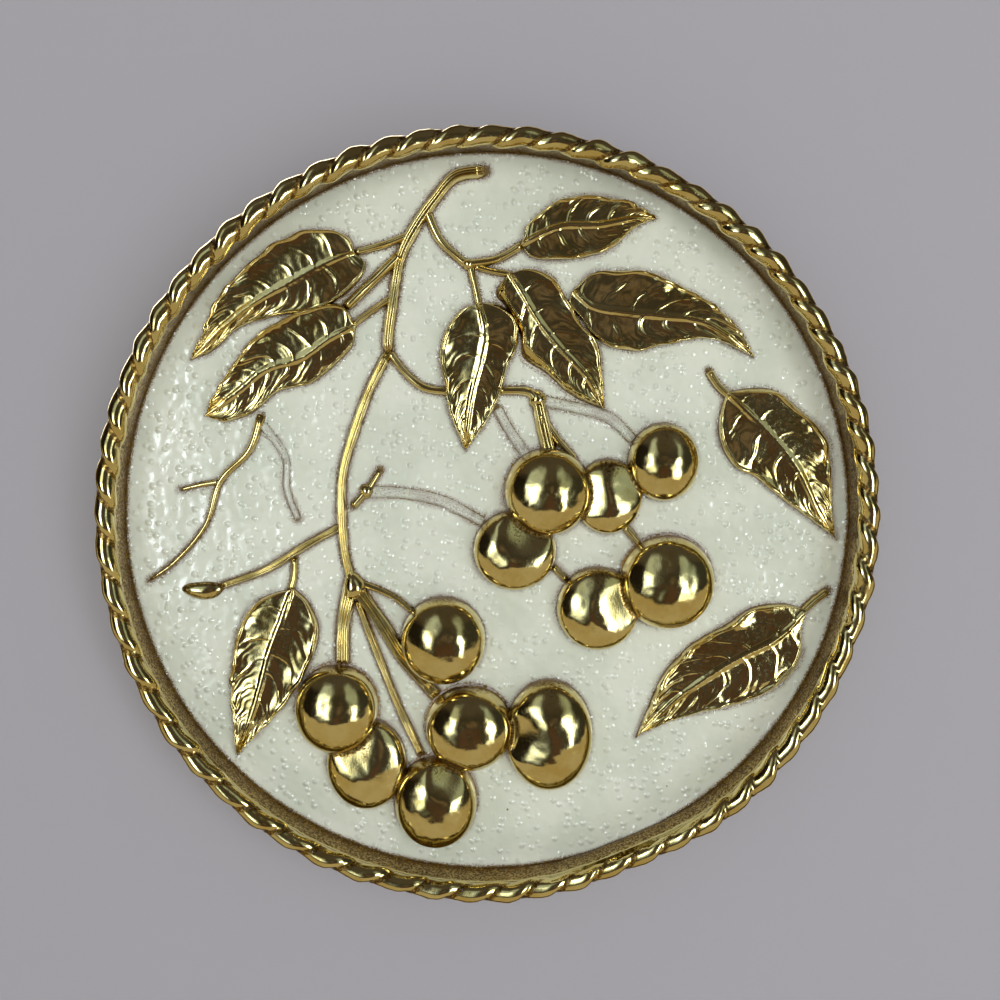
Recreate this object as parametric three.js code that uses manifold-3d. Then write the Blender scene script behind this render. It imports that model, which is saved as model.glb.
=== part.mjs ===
// Round wall plaque with fruiting cherry branches in relief, cast in one piece with its
// twisted rope rim. Millimetres, +Z up. The back rests against a wall at y = 0 and the
// relief faces -Y. The origin is where the nail bears under the cast hanging ledge.
//
// Everything on the face is first laid out on the plan of the disc: x to the right and z up
// from the disc's centre, and h, the height above the painted ground. place() turns a plan
// point into the part's own frame.
import * as THREE from 'three';
import { mergeVertices } from 'three/addons/utils/BufferGeometryUtils.js';
import Module from 'manifold-3d';

// ---------------------------------------------------------------- driving dimensions
const GROUND_DEPTH = 8;            // wall to the front of the ground
const GROUND_THICKNESS = 3;        // ground casting, front to back
const GROUND_RADIUS = 111.6;       // where the ground meets the rim's inner wall
const ROPE_RADIUS = 113.5;         // centre line of the rope
const ROPE_HEIGHT = 12.7;          // centre of the rope above the ground
const ROPE_THICKNESS = 5.8;        // across one strand bundle
const RIM_FOOT_RADIUS = 114.2;     // outer edge of the rim where it touches the wall
const RIM_FOOT_WIDTH = 4.2;        // flat land of the rim on the wall
const CASTING_DRAFT = 1.2;         // taper of the back recess over its depth
const NAIL_TO_CENTRE = 92;         // hanging point down to the disc's centre

// rope: strands counted over three stretches, laid slacker in the lower half
const ROPE_STRETCHES = [
  { from: 0, to: 180, strands: 35 },
  { from: 180, to: 270, strands: 15 },
  { from: 270, to: 360, strands: 16 },
];
const STRAND_LEAN = 3.4;           // degrees a groove runs back from the inner to the outer side
const STRAND_SWELL = 0.45;         // crest of a strand over the mean section
const STRAND_SINK = 0.75;          // groove between strands under the mean section
const DENT = { at: 293, spread: 11, depth: 1.7 };   // knock in the lower right of the rim

// relief
const ROOT = 1.2;                  // how far every raised form reaches down into the ground
const LEAF_HEIGHT = 3.4;           // rib of a leaf above the ground
const LEAF_LIP = 2.6;              // rolled edge of a leaf above the ground
const LEAF_HOLLOW = 0.9;           // how far the blade sinks between rib and lip
const LEAF_VEIN = 0.55;            // rise of a side vein over the blade
const LEAF_VEINS = 5;              // pairs of side veins
const VEIN_SWEEP = 0.09;           // how far a side vein runs forward, as a share of the leaf
const CHERRY_RISE = 0.93;          // height of a cherry as a share of its radius
const CHERRY_WALL = 4;             // metal left over the hollow behind a cherry

// hanging ledge: a horseshoe rib in the back recess, open below
const LEDGE_SLOT = 9;              // width of the slot for the nail head
const LEDGE_RIB = 3.5;             // thickness of the rib round the slot
const LEDGE_DROP = 12;             // length of the straight legs

const GOLD = new THREE.MeshStandardMaterial({ color: '#b08d3c', roughness: 0.22, metalness: 1 });

// ---------------------------------------------------------------- plan of the relief
// cherries: centre, half width and half height on the plan, and a share of the full rise
const CHERRIES = [
  { at: [-47.8, -57.8], size: [13.4, 14.4], rise: 1 },
  { at: [-38.8, -76], size: [12.6, 14.8], rise: 0.86 },
  { at: [-17, -88.3], size: [13.4, 15], rise: 0.94 },
  { at: [-6.5, -64.2], size: [14.2, 13.8], rise: 1 },
  { at: [18.6, -66.8], size: [13.8, 17.6], rise: 0.82 },
  { at: [-14.4, -36.2], size: [13.2, 13.6], rise: 0.96 },
  { at: [17.8, 10.2], size: [13.6, 13.8], rise: 1 },
  { at: [36.4, 8.6], size: [10.6, 11.6], rise: 0.86 },
  { at: [53.2, 19.2], size: [10.8, 12], rise: 1 },
  { at: [7.8, -8], size: [12.8, 12.4], rise: 0.9 },
  { at: [33.6, -26.4], size: [12.8, 13], rise: 0.88 },
  { at: [55, -18], size: [15, 15], rise: 0.95 },
];

// leaves: midrib from base to tip, and the outline on its left and right, seen from the front
// and walking towards the tip
const LEAVES = [
  { // upper left, in front
    rib: [[-40, 82], [-49.5, 78.2], [-58.6, 73.4], [-70.5, 66.8], [-80, 59.5], [-90, 50]],
    left: [[-40, 82], [-36.5, 78.5], [-40.5, 71.5], [-51, 65], [-62, 63.4], [-75, 59.6],
      [-84, 52], [-90, 50]],
    right: [[-40, 82], [-41.4, 86.6], [-51, 88.8], [-63, 85.2], [-74.5, 76], [-82, 67],
      [-86, 58], [-90, 50]],
  },
  { // upper left, behind
    rib: [[-40, 60.5], [-48, 56.6], [-57, 50.6], [-67, 47.5], [-76, 40.5], [-86.4, 33.2]],
    left: [[-40, 60.5], [-40.8, 54.5], [-46, 48.8], [-53, 43.4], [-64, 40.4], [-72, 33.8],
      [-80, 31.4], [-86.4, 33.2]],
    right: [[-40, 60.5], [-44, 67], [-53, 66], [-62, 62.6], [-71, 56.5], [-78, 48],
      [-82.5, 41], [-86.4, 33.2]],
  },
  { // top right
    rib: [[9.4, 84.2], [20.7, 89.5], [32.1, 90], [43.5, 91.8], [50.5, 92]],
    left: [[9.4, 84.2], [11.2, 90], [18.5, 96.4], [27.5, 99.1], [38, 98], [45.7, 95.5], [50.5, 92]],
    right: [[9.4, 84.2], [12.5, 80.6], [21.6, 79.8], [30.7, 80.9], [38, 84], [43.5, 89.1], [50.5, 92]],
  },
  { // middle, running down to the right
    rib: [[5.7, 76], [9.5, 70.5], [15, 61.5], [22, 53], [29.5, 45], [35.2, 34.5]],
    left: [[5.7, 76], [12, 77.5], [19.4, 75], [23.8, 68], [29, 59.6], [33.4, 54.4],
      [34.6, 45], [35.2, 34.5]],
    right: [[5.7, 76], [1.2, 70], [5, 65], [9, 57], [10, 50], [17, 45.6], [25.5, 38.5], [35.2, 34.5]],
  },
  { // right, large
    rib: [[25, 71], [31.1, 66], [41.5, 64.3], [52, 63.2], [65.2, 61.1], [80.6, 50.7]],
    left: [[25, 71], [30, 75.6], [37, 77], [48, 76.6], [58.4, 72.3], [69.3, 66], [77, 58], [80.6, 50.7]],
    right: [[25, 71], [23.8, 67.5], [28.4, 61], [33, 55.6], [43, 52.6], [54, 54.8],
      [67, 56.4], [80.6, 50.7]],
  },
  { // centre, over the stems
    rib: [[-3.2, 67.4], [-1.4, 58], [-2.6, 50], [-4.8, 42], [-6.5, 33], [-7.3, 22.3]],
    left: [[-3.2, 67.4], [4, 66.8], [8, 61.6], [9, 55], [5.8, 48.6], [4, 41], [-1.4, 30],
      [-5, 25.6], [-7.3, 22.3]],
    right: [[-3.2, 67.4], [-8.6, 65.4], [-13.4, 58.6], [-15.2, 52.6], [-14, 44], [-12.4, 35],
      [-9.4, 27], [-7.3, 22.3]],
  },
  { // right side, loose
    rib: [[72, 40.4], [80, 33], [88, 25], [95, 16], [101.4, 3.5], [108, -5.5]],
    left: [[72, 40.4], [79.1, 42], [87, 41.4], [97, 34], [104.4, 26], [105.8, 14.5],
      [106.6, 2.5], [108, -5.5]],
    right: [[72, 40.4], [70.4, 34], [70.2, 27], [74.4, 18.4], [82, 14], [91, 6.8], [100, 0.5], [108, -5.5]],
  },
  { // lower right, loose
    rib: [[99, -27], [89, -36.5], [79, -41.8], [68, -48.4], [58, -55.8], [46, -68.5]],
    left: [[99, -27], [98, -36], [98.6, -43], [92.5, -51.5], [81, -57.5], [68, -60.6],
      [56, -63.8], [46, -68.5]],
    right: [[99, -27], [91.5, -25.3], [83, -26.2], [74, -31.8], [63, -38.4], [54.5, -47.8],
      [50, -58], [46, -68.5]],
  },
  { // lower left, under the first cherry
    rib: [[-60.6, -19.6], [-64.4, -30], [-68.6, -41], [-71.4, -51], [-75, -62], [-79.6, -73.8]],
    left: [[-60.6, -19.6], [-56, -24], [-52.8, -33], [-55.6, -43.4], [-61, -53], [-67, -60.8],
      [-74.4, -68], [-79.6, -73.8]],
    right: [[-60.6, -19.6], [-71, -23], [-77.6, -31], [-80, -42], [-81.2, -52],
      [-80.4, -63], [-79.6, -73.8]],
  },
];

// stems: centre line, width at the ground, height, and the share of both left at the far end
const STEMS = [
  // main branch and its lower fork
  { path: [[-1.5, 105.8], [-10, 104.2], [-16.4, 97.3], [-22.3, 89.1], [-26.4, 81], [-28.6, 70], [-30.6, 56],
    [-30.4, 52.3]], width: 4.6, height: 3, end: 0.8 },
  { path: [[-30.4, 52.6], [-36.2, 41.5], [-41, 29], [-44.8, 16], [-45.4, 4], [-44.6, -9], [-42.4, -19]],
    width: 3.6, height: 2.6, end: 1 },
  { path: [[-30.2, 52.6], [-26, 47], [-20, 42], [-12, 40.6]], width: 2.8, height: 2, end: 1 },
  { path: [[3, 41], [12.3, 40.4], [14.6, 38]], width: 3, height: 2.2, end: 1.2 },
  // upper right spray
  { path: [[-18.6, 94], [-14.5, 85.5], [-6.8, 78.4]], width: 3, height: 2, end: 1 },
  { path: [[-6.8, 78.6], [2, 80], [9.8, 84.2]], width: 3, height: 2.2, end: 1 },
  { path: [[-5.8, 78.4], [-4, 71], [-3, 66]], width: 2.6, height: 1.8, end: 1 },
  { path: [[-4.5, 78], [0, 76.8], [6.4, 75.6]], width: 2.4, height: 1.8, end: 1 },
  // upper left leaf stalks
  { path: [[-24, 87], [-31, 84.4], [-40, 82]], width: 2.6, height: 2, end: 1 },
  { path: [[-26.6, 81.4], [-34, 74.4], [-43, 66]], width: 3.6, height: 2.4, end: 1 },
  { path: [[-29.4, 68.6], [-35, 65], [-41, 60.6]], width: 2.4, height: 1.8, end: 1 },
  // left twigs
  { path: [[-69.1, 33.6], [-73, 23], [-82, 13.6], [-87, 0], [-97, -11.6], [-104.8, -17.2]],
    width: 3.2, height: 2.2, end: 0.35 },
  { path: [[-82, 13.4], [-88, 12.4], [-94.4, 10.9]], width: 2.4, height: 1.6, end: 0.6 },
  { path: [[-69.1, 31], [-62.2, 20.5], [-62, 11], [-59, 1.8]], width: 2.8, height: 1.6, end: 0.6 },
  { path: [[-45.6, -0.6], [-55.5, -5.9], [-69, -14], [-83, -19.2]], width: 3.2, height: 2.2, end: 0.8 },
  { path: [[-60.2, -10.4], [-60.4, -16], [-61.6, -20.4]], width: 2.6, height: 1.8, end: 1 },
  // stalks of the two loose leaves
  { path: [[66.8, 46.8], [69.5, 42.7], [73.6, 38.8]], width: 2.8, height: 2.2, end: 1 },
  { path: [[105.6, -21.4], [101, -25], [96.6, -29.4]], width: 3, height: 2.2, end: 1 },
  // spur and the painted-over stem to the middle cherry
  { path: [[-41.8, 5.6], [-37.4, 10.8], [-33.4, 16.8]], width: 3.4, height: 2, end: 0.5 },
  { path: [[-38, 10], [-27, 9.6], [-15, 7.2], [-2, 0.6]], width: 4, height: 1.1, end: 0.8 },
  // stalks of the upper cherries
  { path: [[14.6, 39], [16.4, 31], [18.5, 22]], width: 4.4, height: 2.6, end: 1.5 },
  { path: [[15.4, 34], [20, 27], [26, 20]], width: 3, height: 2.2, end: 1 },
  { path: [[15, 38], [26, 35.8], [36, 33], [44, 26]], width: 3.6, height: 1.2, end: 0.9 },
  { path: [[2.4, 35.4], [6, 29], [11.4, 21]], width: 3.4, height: 1.2, end: 0.9 },
  { path: [[41.6, -0.6], [46.6, -6.6]], width: 2.6, height: 1.6, end: 1 },
  { path: [[19.6, -13.4], [24, -17.6]], width: 2.6, height: 1.6, end: 1 },
  // stalks of the lower cherries
  { path: [[-42.6, -17.6], [-45.4, -31], [-46, -44]], width: 5.4, height: 3.2, end: 0.9 },
  { path: [[-40.4, -18], [-30, -22.6], [-23.6, -27.6]], width: 2.6, height: 1.6, end: 0.8 },
  { path: [[-41, -20], [-33, -32], [-27, -42], [-18, -53]], width: 5.4, height: 3, end: 0.8 },
  { path: [[-41, -24], [-34.6, -42], [-28, -59.4], [-21.4, -74]], width: 3, height: 2, end: 1 },
];

// knots where stems meet: centre, half width, half height, rise
const KNOTS = [
  { at: [-42, -19.4], size: [3.6, 4.6], rise: 3.6 },
  { at: [14.6, 38.4], size: [2.8, 2.8], rise: 3 },
  { at: [-6.2, 78.6], size: [2.2, 1.9], rise: 2.6 },
  { at: [-37.6, 10.4], size: [2.2, 2.4], rise: 2.4 },
  { at: [-88.4, -20.4], size: [6.4, 2.8], rise: 2.4 },
];

// ---------------------------------------------------------------- helpers
const wasm = await Module();
wasm.setup();

const place = (x, z, h) => new THREE.Vector3(x, -GROUND_DEPTH - h, z - NAIL_TO_CENTRE);

/** A manifold-3d solid from a closed three.js geometry. */
function solid(geometry) {
  const bare = geometry.clone();
  bare.deleteAttribute('normal');
  bare.deleteAttribute('uv');
  const merged = mergeVertices(bare, 1e-4);
  const vertProperties = new Float32Array(merged.attributes.position.array);
  const triVerts = new Uint32Array(merged.index.array);
  const made = new wasm.Manifold(new wasm.Mesh({ numProp: 3, vertProperties, triVerts }));
  if (made.volume() > 0) return made;
  for (let i = 0; i < triVerts.length; i += 3) {
    [triVerts[i + 1], triVerts[i + 2]] = [triVerts[i + 2], triVerts[i + 1]];
  }
  return new wasm.Manifold(new wasm.Mesh({ numProp: 3, vertProperties, triVerts }));
}

/** Closed skin through loops of points that all have the same length, capped at both ends. */
function loft(loops) {
  const around = loops[0].length;
  const points = loops.flat();
  const index = [];
  for (let i = 0; i + 1 < loops.length; i += 1) {
    for (let j = 0; j < around; j += 1) {
      const a = i * around + j;
      const b = i * around + (j + 1) % around;
      index.push(a, b, a + around, b, b + around, a + around);
    }
  }
  const last = (loops.length - 1) * around;
  for (let j = 1; j + 1 < around; j += 1) {
    index.push(0, j + 1, j, last, last + j, last + j + 1);
  }
  const geometry = new THREE.BufferGeometry().setFromPoints(points);
  geometry.setIndex(index);
  return solid(geometry);
}

/** Smooth curve on the plan through [x, z] pairs. */
function curve(pairs) {
  return new THREE.CatmullRomCurve3(pairs.map(([x, z]) => new THREE.Vector3(x, z, 0)), false, 'centripetal');
}

// ---------------------------------------------------------------- the dish and its rope
/** Angle of a rope column in degrees: a column on each crest and one in each groove. */
function ropeAngle(column) {
  let first = 0;
  for (const { from, to, strands } of ROPE_STRETCHES) {
    if (column <= first + strands * 2) return from + (to - from) * (column - first) / (strands * 2);
    first += strands * 2;
  }
  return 360;
}

/** Inward shift of the rim where it was knocked. */
function dentDepth(degrees) {
  const away = (degrees - DENT.at) / DENT.spread;
  return DENT.depth * Math.exp(-away * away);
}

/** The rope's section: [radius, height, share from the inner side to the outer side]. */
function ropeSection() {
  const half = ROPE_THICKNESS / 2;
  return [-38, 0, 45, 90, 135, 180, 218].map((turn, i, all) => {
    const angle = THREE.MathUtils.degToRad(turn);
    return [ROPE_RADIUS - half * Math.cos(angle), ROPE_HEIGHT + half * Math.sin(angle), i / (all.length - 1)];
  });
}

/** Dish turned from one profile; the rope's points then swell, sink and slide round. */
function dish() {
  const rope = ropeSection();
  const footInner = RIM_FOOT_RADIUS - RIM_FOOT_WIDTH;
  const profile = [
    [0, 0],
    [GROUND_RADIUS, 0],
    ...rope.map(([r, h]) => [r, h]),
    [RIM_FOOT_RADIUS, -GROUND_DEPTH],
    [footInner, -GROUND_DEPTH],
    [footInner - CASTING_DRAFT, -GROUND_THICKNESS],
    [0, -GROUND_THICKNESS],
  ];
  const ropeStart = 2;
  const columns = 2 * ROPE_STRETCHES.reduce((sum, { strands }) => sum + strands, 0);
  const geometry = new THREE.LatheGeometry(profile.map(([r, h]) => new THREE.Vector2(r, h)), columns);
  const position = geometry.attributes.position;
  for (let column = 0; column <= columns; column += 1) {
    for (let row = 0; row < profile.length; row += 1) {
      let [r, h] = profile[row];
      let degrees = ropeAngle(column % columns);
      const onRope = row >= ropeStart && row < ropeStart + rope.length;
      if (onRope) {
        const share = rope[row - ropeStart][2];
        const swell = column % 2 ? STRAND_SWELL : -STRAND_SINK;
        const fade = Math.sin(Math.PI * share);
        r += (r - ROPE_RADIUS) / (ROPE_THICKNESS / 2) * swell * fade;
        h += (h - ROPE_HEIGHT) / (ROPE_THICKNESS / 2) * swell * fade;
        degrees += STRAND_LEAN * (0.5 - share);
      }
      if (r > GROUND_RADIUS) r -= dentDepth(degrees);
      const angle = THREE.MathUtils.degToRad(degrees);
      const at = place(r * Math.cos(angle), r * Math.sin(angle), h);
      position.setXYZ(column * profile.length + row, at.x, at.y, at.z);
    }
  }
  return solid(geometry);
}

// ---------------------------------------------------------------- relief
/** A domed form: an ellipse on the plan, rising in a quarter ellipse. */
function dome({ at: [x, z], size: [rx, rz], rise, root = ROOT, columns = 14, steps = 4 }) {
  const profile = [];
  for (let i = 0; i <= steps; i += 1) {
    const angle = (Math.PI / 2) * (i / steps);
    profile.push(new THREE.Vector2(i === 0 ? 0 : Math.sin(angle), rise * Math.cos(angle)));
  }
  profile.push(new THREE.Vector2(1, -root), new THREE.Vector2(0, -root));
  const geometry = new THREE.LatheGeometry(profile, columns);
  const position = geometry.attributes.position;
  for (let i = 0; i < position.count; i += 1) {
    const p = place(x + rx * position.getX(i), z + rz * position.getZ(i), position.getY(i));
    position.setXYZ(i, p.x, p.y, p.z);
  }
  return solid(geometry);
}

/** A cherry, and the hollow behind it. */
function cherry({ at, size, rise }) {
  const height = CHERRY_RISE * Math.min(...size) * rise;
  const body = dome({ at, size, rise: height });
  const inner = size.map((r) => r - CHERRY_WALL);
  const hollow = dome({
    at, size: inner, rise: height - CHERRY_WALL, root: GROUND_THICKNESS + 1, columns: 10, steps: 2,
  });
  return { body, hollow };
}

/** A leaf: blade between rib and rolled edges, crossed by side veins, skirt down to the ground. */
function leaf({ rib, left, right }) {
  const ribCurve = curve(rib);
  const edges = [curve(left), curve(right)];
  const stations = 2 * LEAF_VEINS;
  const loops = [];
  for (let i = 0; i <= stations; i += 1) {
    const u = 0.02 + 0.96 * i / stations;
    const taper = Math.min(1, 5 * Math.min(u, 1 - u));
    const middle = ribCurve.getPointAt(u);
    const ridge = i % 2 ? LEAF_VEIN : -LEAF_VEIN;
    const sides = edges.map((edge) => {
      const outer = edge.getPointAt(u);
      const lip = outer.clone().lerp(middle, 0.12);
      const half = edge.getPointAt(Math.min(0.99, u + VEIN_SWEEP / 2 * taper)).lerp(middle, 0.5);
      return [
        place(outer.x, outer.y, -ROOT),
        place(lip.x, lip.y, LEAF_LIP * (0.45 + 0.55 * taper)),
        place(half.x, half.y, (LEAF_HEIGHT - LEAF_HOLLOW + ridge) * (0.5 + 0.5 * taper)),
      ];
    });
    const top = place(middle.x, middle.y, LEAF_HEIGHT * (0.5 + 0.5 * taper));
    loops.push([...sides[0], top, ...sides[1].reverse()]);
  }
  return loft(loops);
}

/** A stem: a ridge with sloping sides carried along its centre line. */
function stem({ path, width, height, end }) {
  const line = curve(path);
  const steps = path.length === 2 ? 1 : path.length + Math.ceil(line.getLength() / 25);
  const loops = [];
  for (let i = 0; i <= steps; i += 1) {
    const u = i / steps;
    const middle = line.getPointAt(u);
    const along = line.getTangentAt(u);
    const size = 1 + (end - 1) * u;
    const across = [[-0.5, -ROOT], [-0.22, height * size], [0.22, height * size], [0.5, -ROOT]];
    loops.push(across.map(([share, h]) => {
      const out = share * width * size;
      return place(middle.x - along.y * out, middle.y + along.x * out, h);
    }));
  }
  return loft(loops);
}

// ---------------------------------------------------------------- back
/** Horseshoe rib in the recess: its arch rests on the nail, at the origin. */
function hangingLedge() {
  const inner = LEDGE_SLOT / 2;
  const outer = inner + LEDGE_RIB;
  const outline = new THREE.Shape();
  outline.moveTo(outer, -LEDGE_DROP - inner);
  outline.lineTo(outer, -inner);
  outline.absarc(0, -inner, outer, 0, Math.PI, false);
  outline.lineTo(-outer, -LEDGE_DROP - inner);
  outline.lineTo(-inner, -LEDGE_DROP - inner);
  outline.lineTo(-inner, -inner);
  outline.absarc(0, -inner, inner, Math.PI, 0, true);
  outline.lineTo(inner, -LEDGE_DROP - inner);
  const depth = GROUND_DEPTH - GROUND_THICKNESS;
  const geometry = new THREE.ExtrudeGeometry(outline, { depth, bevelEnabled: false, curveSegments: 10 });
  geometry.rotateX(Math.PI / 2);
  geometry.translate(0, -0.5, 0);
  return solid(geometry);
}

// ---------------------------------------------------------------- the casting
function casting() {
  let body = dish();
  const knots = KNOTS.map((knot) => dome({ ...knot, columns: 8, steps: 2 }));
  for (const form of [...LEAVES.map(leaf), ...STEMS.map(stem), ...knots]) body = body.add(form);
  const cherries = CHERRIES.map(cherry);
  for (const { body: fruit } of cherries) body = body.add(fruit);
  for (const { hollow } of cherries) body = body.subtract(hollow);
  return body.add(hangingLedge());
}

const skin = casting().getMesh();
const geometry = new THREE.BufferGeometry();
geometry.setAttribute('position', new THREE.BufferAttribute(skin.vertProperties, 3));
geometry.setIndex(new THREE.BufferAttribute(skin.triVerts, 1));
geometry.computeVertexNormals();

const plaque = new THREE.Mesh(geometry, GOLD);
plaque.name = 'plaque';

const part = new THREE.Group();
part.add(plaque);
export default part;
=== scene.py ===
"""Looks of a round gilt wall plaque: fruiting cherry branches in relief on a cream painted ground.

The relief is laid out on the plan of the disc, in millimetres: x to the right and z up from the
disc's centre, and h the height above the painted ground. `place` turns plan points into the
part's own frame, in metres, with its origin under the hanging ledge on the wall.
"""

import logging
import math
from dataclasses import dataclass, field
from enum import Enum

import bpy
import numpy as np
from mathutils import Euler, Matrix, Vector


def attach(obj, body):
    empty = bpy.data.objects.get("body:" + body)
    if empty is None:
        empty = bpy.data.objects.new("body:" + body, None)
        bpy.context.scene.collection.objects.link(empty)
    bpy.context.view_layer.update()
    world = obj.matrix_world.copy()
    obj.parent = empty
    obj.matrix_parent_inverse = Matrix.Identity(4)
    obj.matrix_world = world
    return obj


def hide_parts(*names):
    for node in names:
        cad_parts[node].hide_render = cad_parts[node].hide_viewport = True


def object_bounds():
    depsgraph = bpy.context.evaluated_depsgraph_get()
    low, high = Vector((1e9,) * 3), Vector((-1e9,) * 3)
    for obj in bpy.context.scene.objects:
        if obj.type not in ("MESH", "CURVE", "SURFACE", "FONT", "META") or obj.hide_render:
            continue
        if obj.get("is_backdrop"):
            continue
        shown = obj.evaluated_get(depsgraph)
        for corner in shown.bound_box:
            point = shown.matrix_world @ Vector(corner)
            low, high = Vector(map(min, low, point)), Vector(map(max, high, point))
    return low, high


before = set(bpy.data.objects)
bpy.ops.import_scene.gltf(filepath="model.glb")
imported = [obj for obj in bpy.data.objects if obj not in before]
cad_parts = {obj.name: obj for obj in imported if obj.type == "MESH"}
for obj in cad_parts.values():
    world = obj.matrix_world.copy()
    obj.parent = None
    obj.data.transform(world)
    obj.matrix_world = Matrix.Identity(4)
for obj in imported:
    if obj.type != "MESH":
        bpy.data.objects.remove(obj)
CAD_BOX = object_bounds()

log = logging.getLogger("plaque")

# ------------------------------------------------------------------ shared sizes, in millimetres
GROUND_DEPTH = 8.0        # wall to the front of the painted ground
GROUND_THICKNESS = 3.0    # ground casting, front to back
NAIL_TO_CENTRE = 92.0     # hanging point down to the disc's centre
ROOT = 1.2                # how far every raised form reaches down into the ground
CHERRY_RISE = 0.93        # height of a cherry as a share of its radius
CHERRY_CUT = 0.88         # a cherry's outline as a share of the ball it is cut from
CHERRY_EDGE = 36.0        # how sharply a cherry turns down into its upright wall
CHERRY_WALL = 4.0         # metal left over the hollow behind a cherry
CHERRY_CAP = 0.93         # how high a cherry is beside one over it, as a share of that one's wall
CHERRY_EASE = 1.7         # how softly it turns into that slope
SHELL = 1.2               # metal of a cherry over the layers behind it
NOWHERE = -100.0          # height where a form isn't
FAR = 50.0                # distance to forms that are out of reach
TOP_SHADE = 0.78               # share of the height over which the tarnish colour climbs a cherry's upper side as painted shade
AS_CAST = 7.0             # lift of the band and the back, which are clear of tarnish
BRIGHT = 20.0             # lift of a cherry's middle, clear of it too
THIN_PAINT = 0.62         # how the paint lies on the sprayed stems, as a distance from bare metal

Array = np.ndarray
Pairs = tuple[tuple[float, float], ...]
Material, Piece = bpy.types.Material, bpy.types.Object
Tree, Socket = bpy.types.NodeTree, bpy.types.NodeSocket


class Slot(Enum):
    """The record's material slots."""

    GILT = "gilt_metal"
    CREAM = "cream_paint"


# ------------------------------------------------------------------ numbers and curves
def linear(colour: str) -> tuple[float, float, float, float]:
    """Linear light of an sRGB hex colour.

    Args:
        colour: "#rrggbb".

    Returns:
        Red, green and blue in linear light, and an alpha of 1.
    """
    parts = [int(colour[i:i + 2], 16) / 255 for i in (1, 3, 5)]
    made = [p / 12.92 if p <= 0.04045 else ((p + 0.055) / 1.055) ** 2.4 for p in parts]
    return (*made, 1.0)


def place(x: Array, z: Array, h: Array) -> Array:
    """Plan millimetres to the part's frame in metres: x stays, height turns towards -Y, z drops.

    Args:
        x: Plan x.
        z: Plan z.
        h: Height above the ground.

    Returns:
        Points, with a last axis of 3.
    """
    x, z, h = np.broadcast_arrays(x, z, h)
    return np.stack([x, -GROUND_DEPTH - h, z - NAIL_TO_CENTRE], -1) / 1000


def smoothstep(low: float, high: float, value: Array) -> Array:
    """0 below low and 1 above high, with the cubic 3t^2 - 2t^3 between them."""
    t = np.clip((value - low) / (high - low), 0, 1)
    return t * t * (3 - 2 * t)


def ripple(x: Array, z: Array, size: float, seed: int, waves: int = 14) -> Array:
    """Uneven swell over the plan: the mean of sines that run in random directions.

    Args:
        x: Plan x.
        z: Plan z.
        size: Typical length of a wave in millimetres.
        seed: Which pattern.
        waves: How many sines are added.

    Returns:
        Values mostly between -1 and 1.
    """
    pick = np.random.default_rng(seed)
    turn = pick.uniform(0, 2 * math.pi, waves)
    length = size * pick.uniform(0.75, 1.35, waves)
    shift = pick.uniform(0, 2 * math.pi, waves)
    total = np.zeros(np.broadcast(x, z).shape)
    for angle, step, phase in zip(turn, length, shift):
        total += np.sin(2 * math.pi * (x * math.cos(angle) + z * math.sin(angle)) / step + phase)
    return total / math.sqrt(waves / 2) / 1.6


class Curve:
    """Smooth line through plan points, read off at even steps of its length.

    Each stretch is a cubic. Its end slopes come from the neighbouring points, weighted by the
    square root of their spacing, so that uneven points make no loops.
    """

    def __init__(self, points: Pairs) -> None:
        """Samples the line finely and keeps its running length."""
        p = np.asarray(points, float)
        ends = np.vstack([2 * p[0] - p[1], p, 2 * p[-1] - p[-2]])
        gap = np.sqrt(np.linalg.norm(np.diff(ends, axis=0), axis=1))[:, None]
        before, here, after = gap[:-2], gap[1:-1], gap[2:]
        a, b, c, d = ends[:-3], ends[1:-2], ends[2:-1], ends[3:]
        start = ((b - a) / before - (c - a) / (before + here) + (c - b) / here) * here
        stop = ((c - b) / here - (d - b) / (here + after) + (d - c) / after) * here
        t = np.linspace(0, 1, 40, endpoint=False)[None, :, None]
        b, c, start, stop = b[:, None], c[:, None], start[:, None], stop[:, None]
        fine = (2 * t**3 - 3 * t**2 + 1) * b + (t**3 - 2 * t**2 + t) * start
        fine = fine + (3 * t**2 - 2 * t**3) * c + (t**3 - t**2) * stop
        self.fine = np.vstack([fine.reshape(-1, 2), p[-1]])
        step = np.linalg.norm(np.diff(self.fine, axis=0), axis=1)
        self.run = np.concatenate([[0.0], np.cumsum(step)])

    @property
    def length(self) -> float:
        """Length of the line in millimetres."""
        return float(self.run[-1])

    def at(self, share: Array) -> Array:
        """Points at these shares of the length.

        Args:
            share: Values from 0 to 1, of any shape.

        Returns:
            Plan points, with a last axis of 2.
        """
        where = np.clip(share, 0, 1) * self.run[-1]
        return np.stack([np.interp(where, self.run, self.fine[:, k]) for k in (0, 1)], -1)

    def along(self, share: Array) -> Array:
        """Unit directions at these shares of the length."""
        step = self.at(np.clip(share + 0.006, 0, 1)) - self.at(np.clip(share - 0.006, 0, 1))
        return step / np.maximum(np.linalg.norm(step, axis=-1, keepdims=True), 1e-9)


# ------------------------------------------------------------------ meshes
def quads(loops: int, around: int, ring: bool) -> Array:
    """Four-sided faces between loops of points.

    Args:
        loops: How many loops.
        around: Points in each loop.
        ring: The last loop joins the first.

    Returns:
        An array of faces by 4 indices.
    """
    i = np.arange(loops if ring else loops - 1)[:, None]
    j = np.arange(around)[None, :]
    below, right = (i + 1) % loops, (j + 1) % around
    i, j, below, right = np.broadcast_arrays(i, j, below, right)
    corners = [i * around + j, below * around + j, below * around + right, i * around + right]
    return np.stack(corners, -1).reshape(-1, 4)


@dataclass
class Skin:
    """Points, faces and values of one closed piece before it becomes a mesh."""

    points: Array
    faces: list[Array]
    lift: Array | None = None
    paint: Array | None = None


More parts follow.
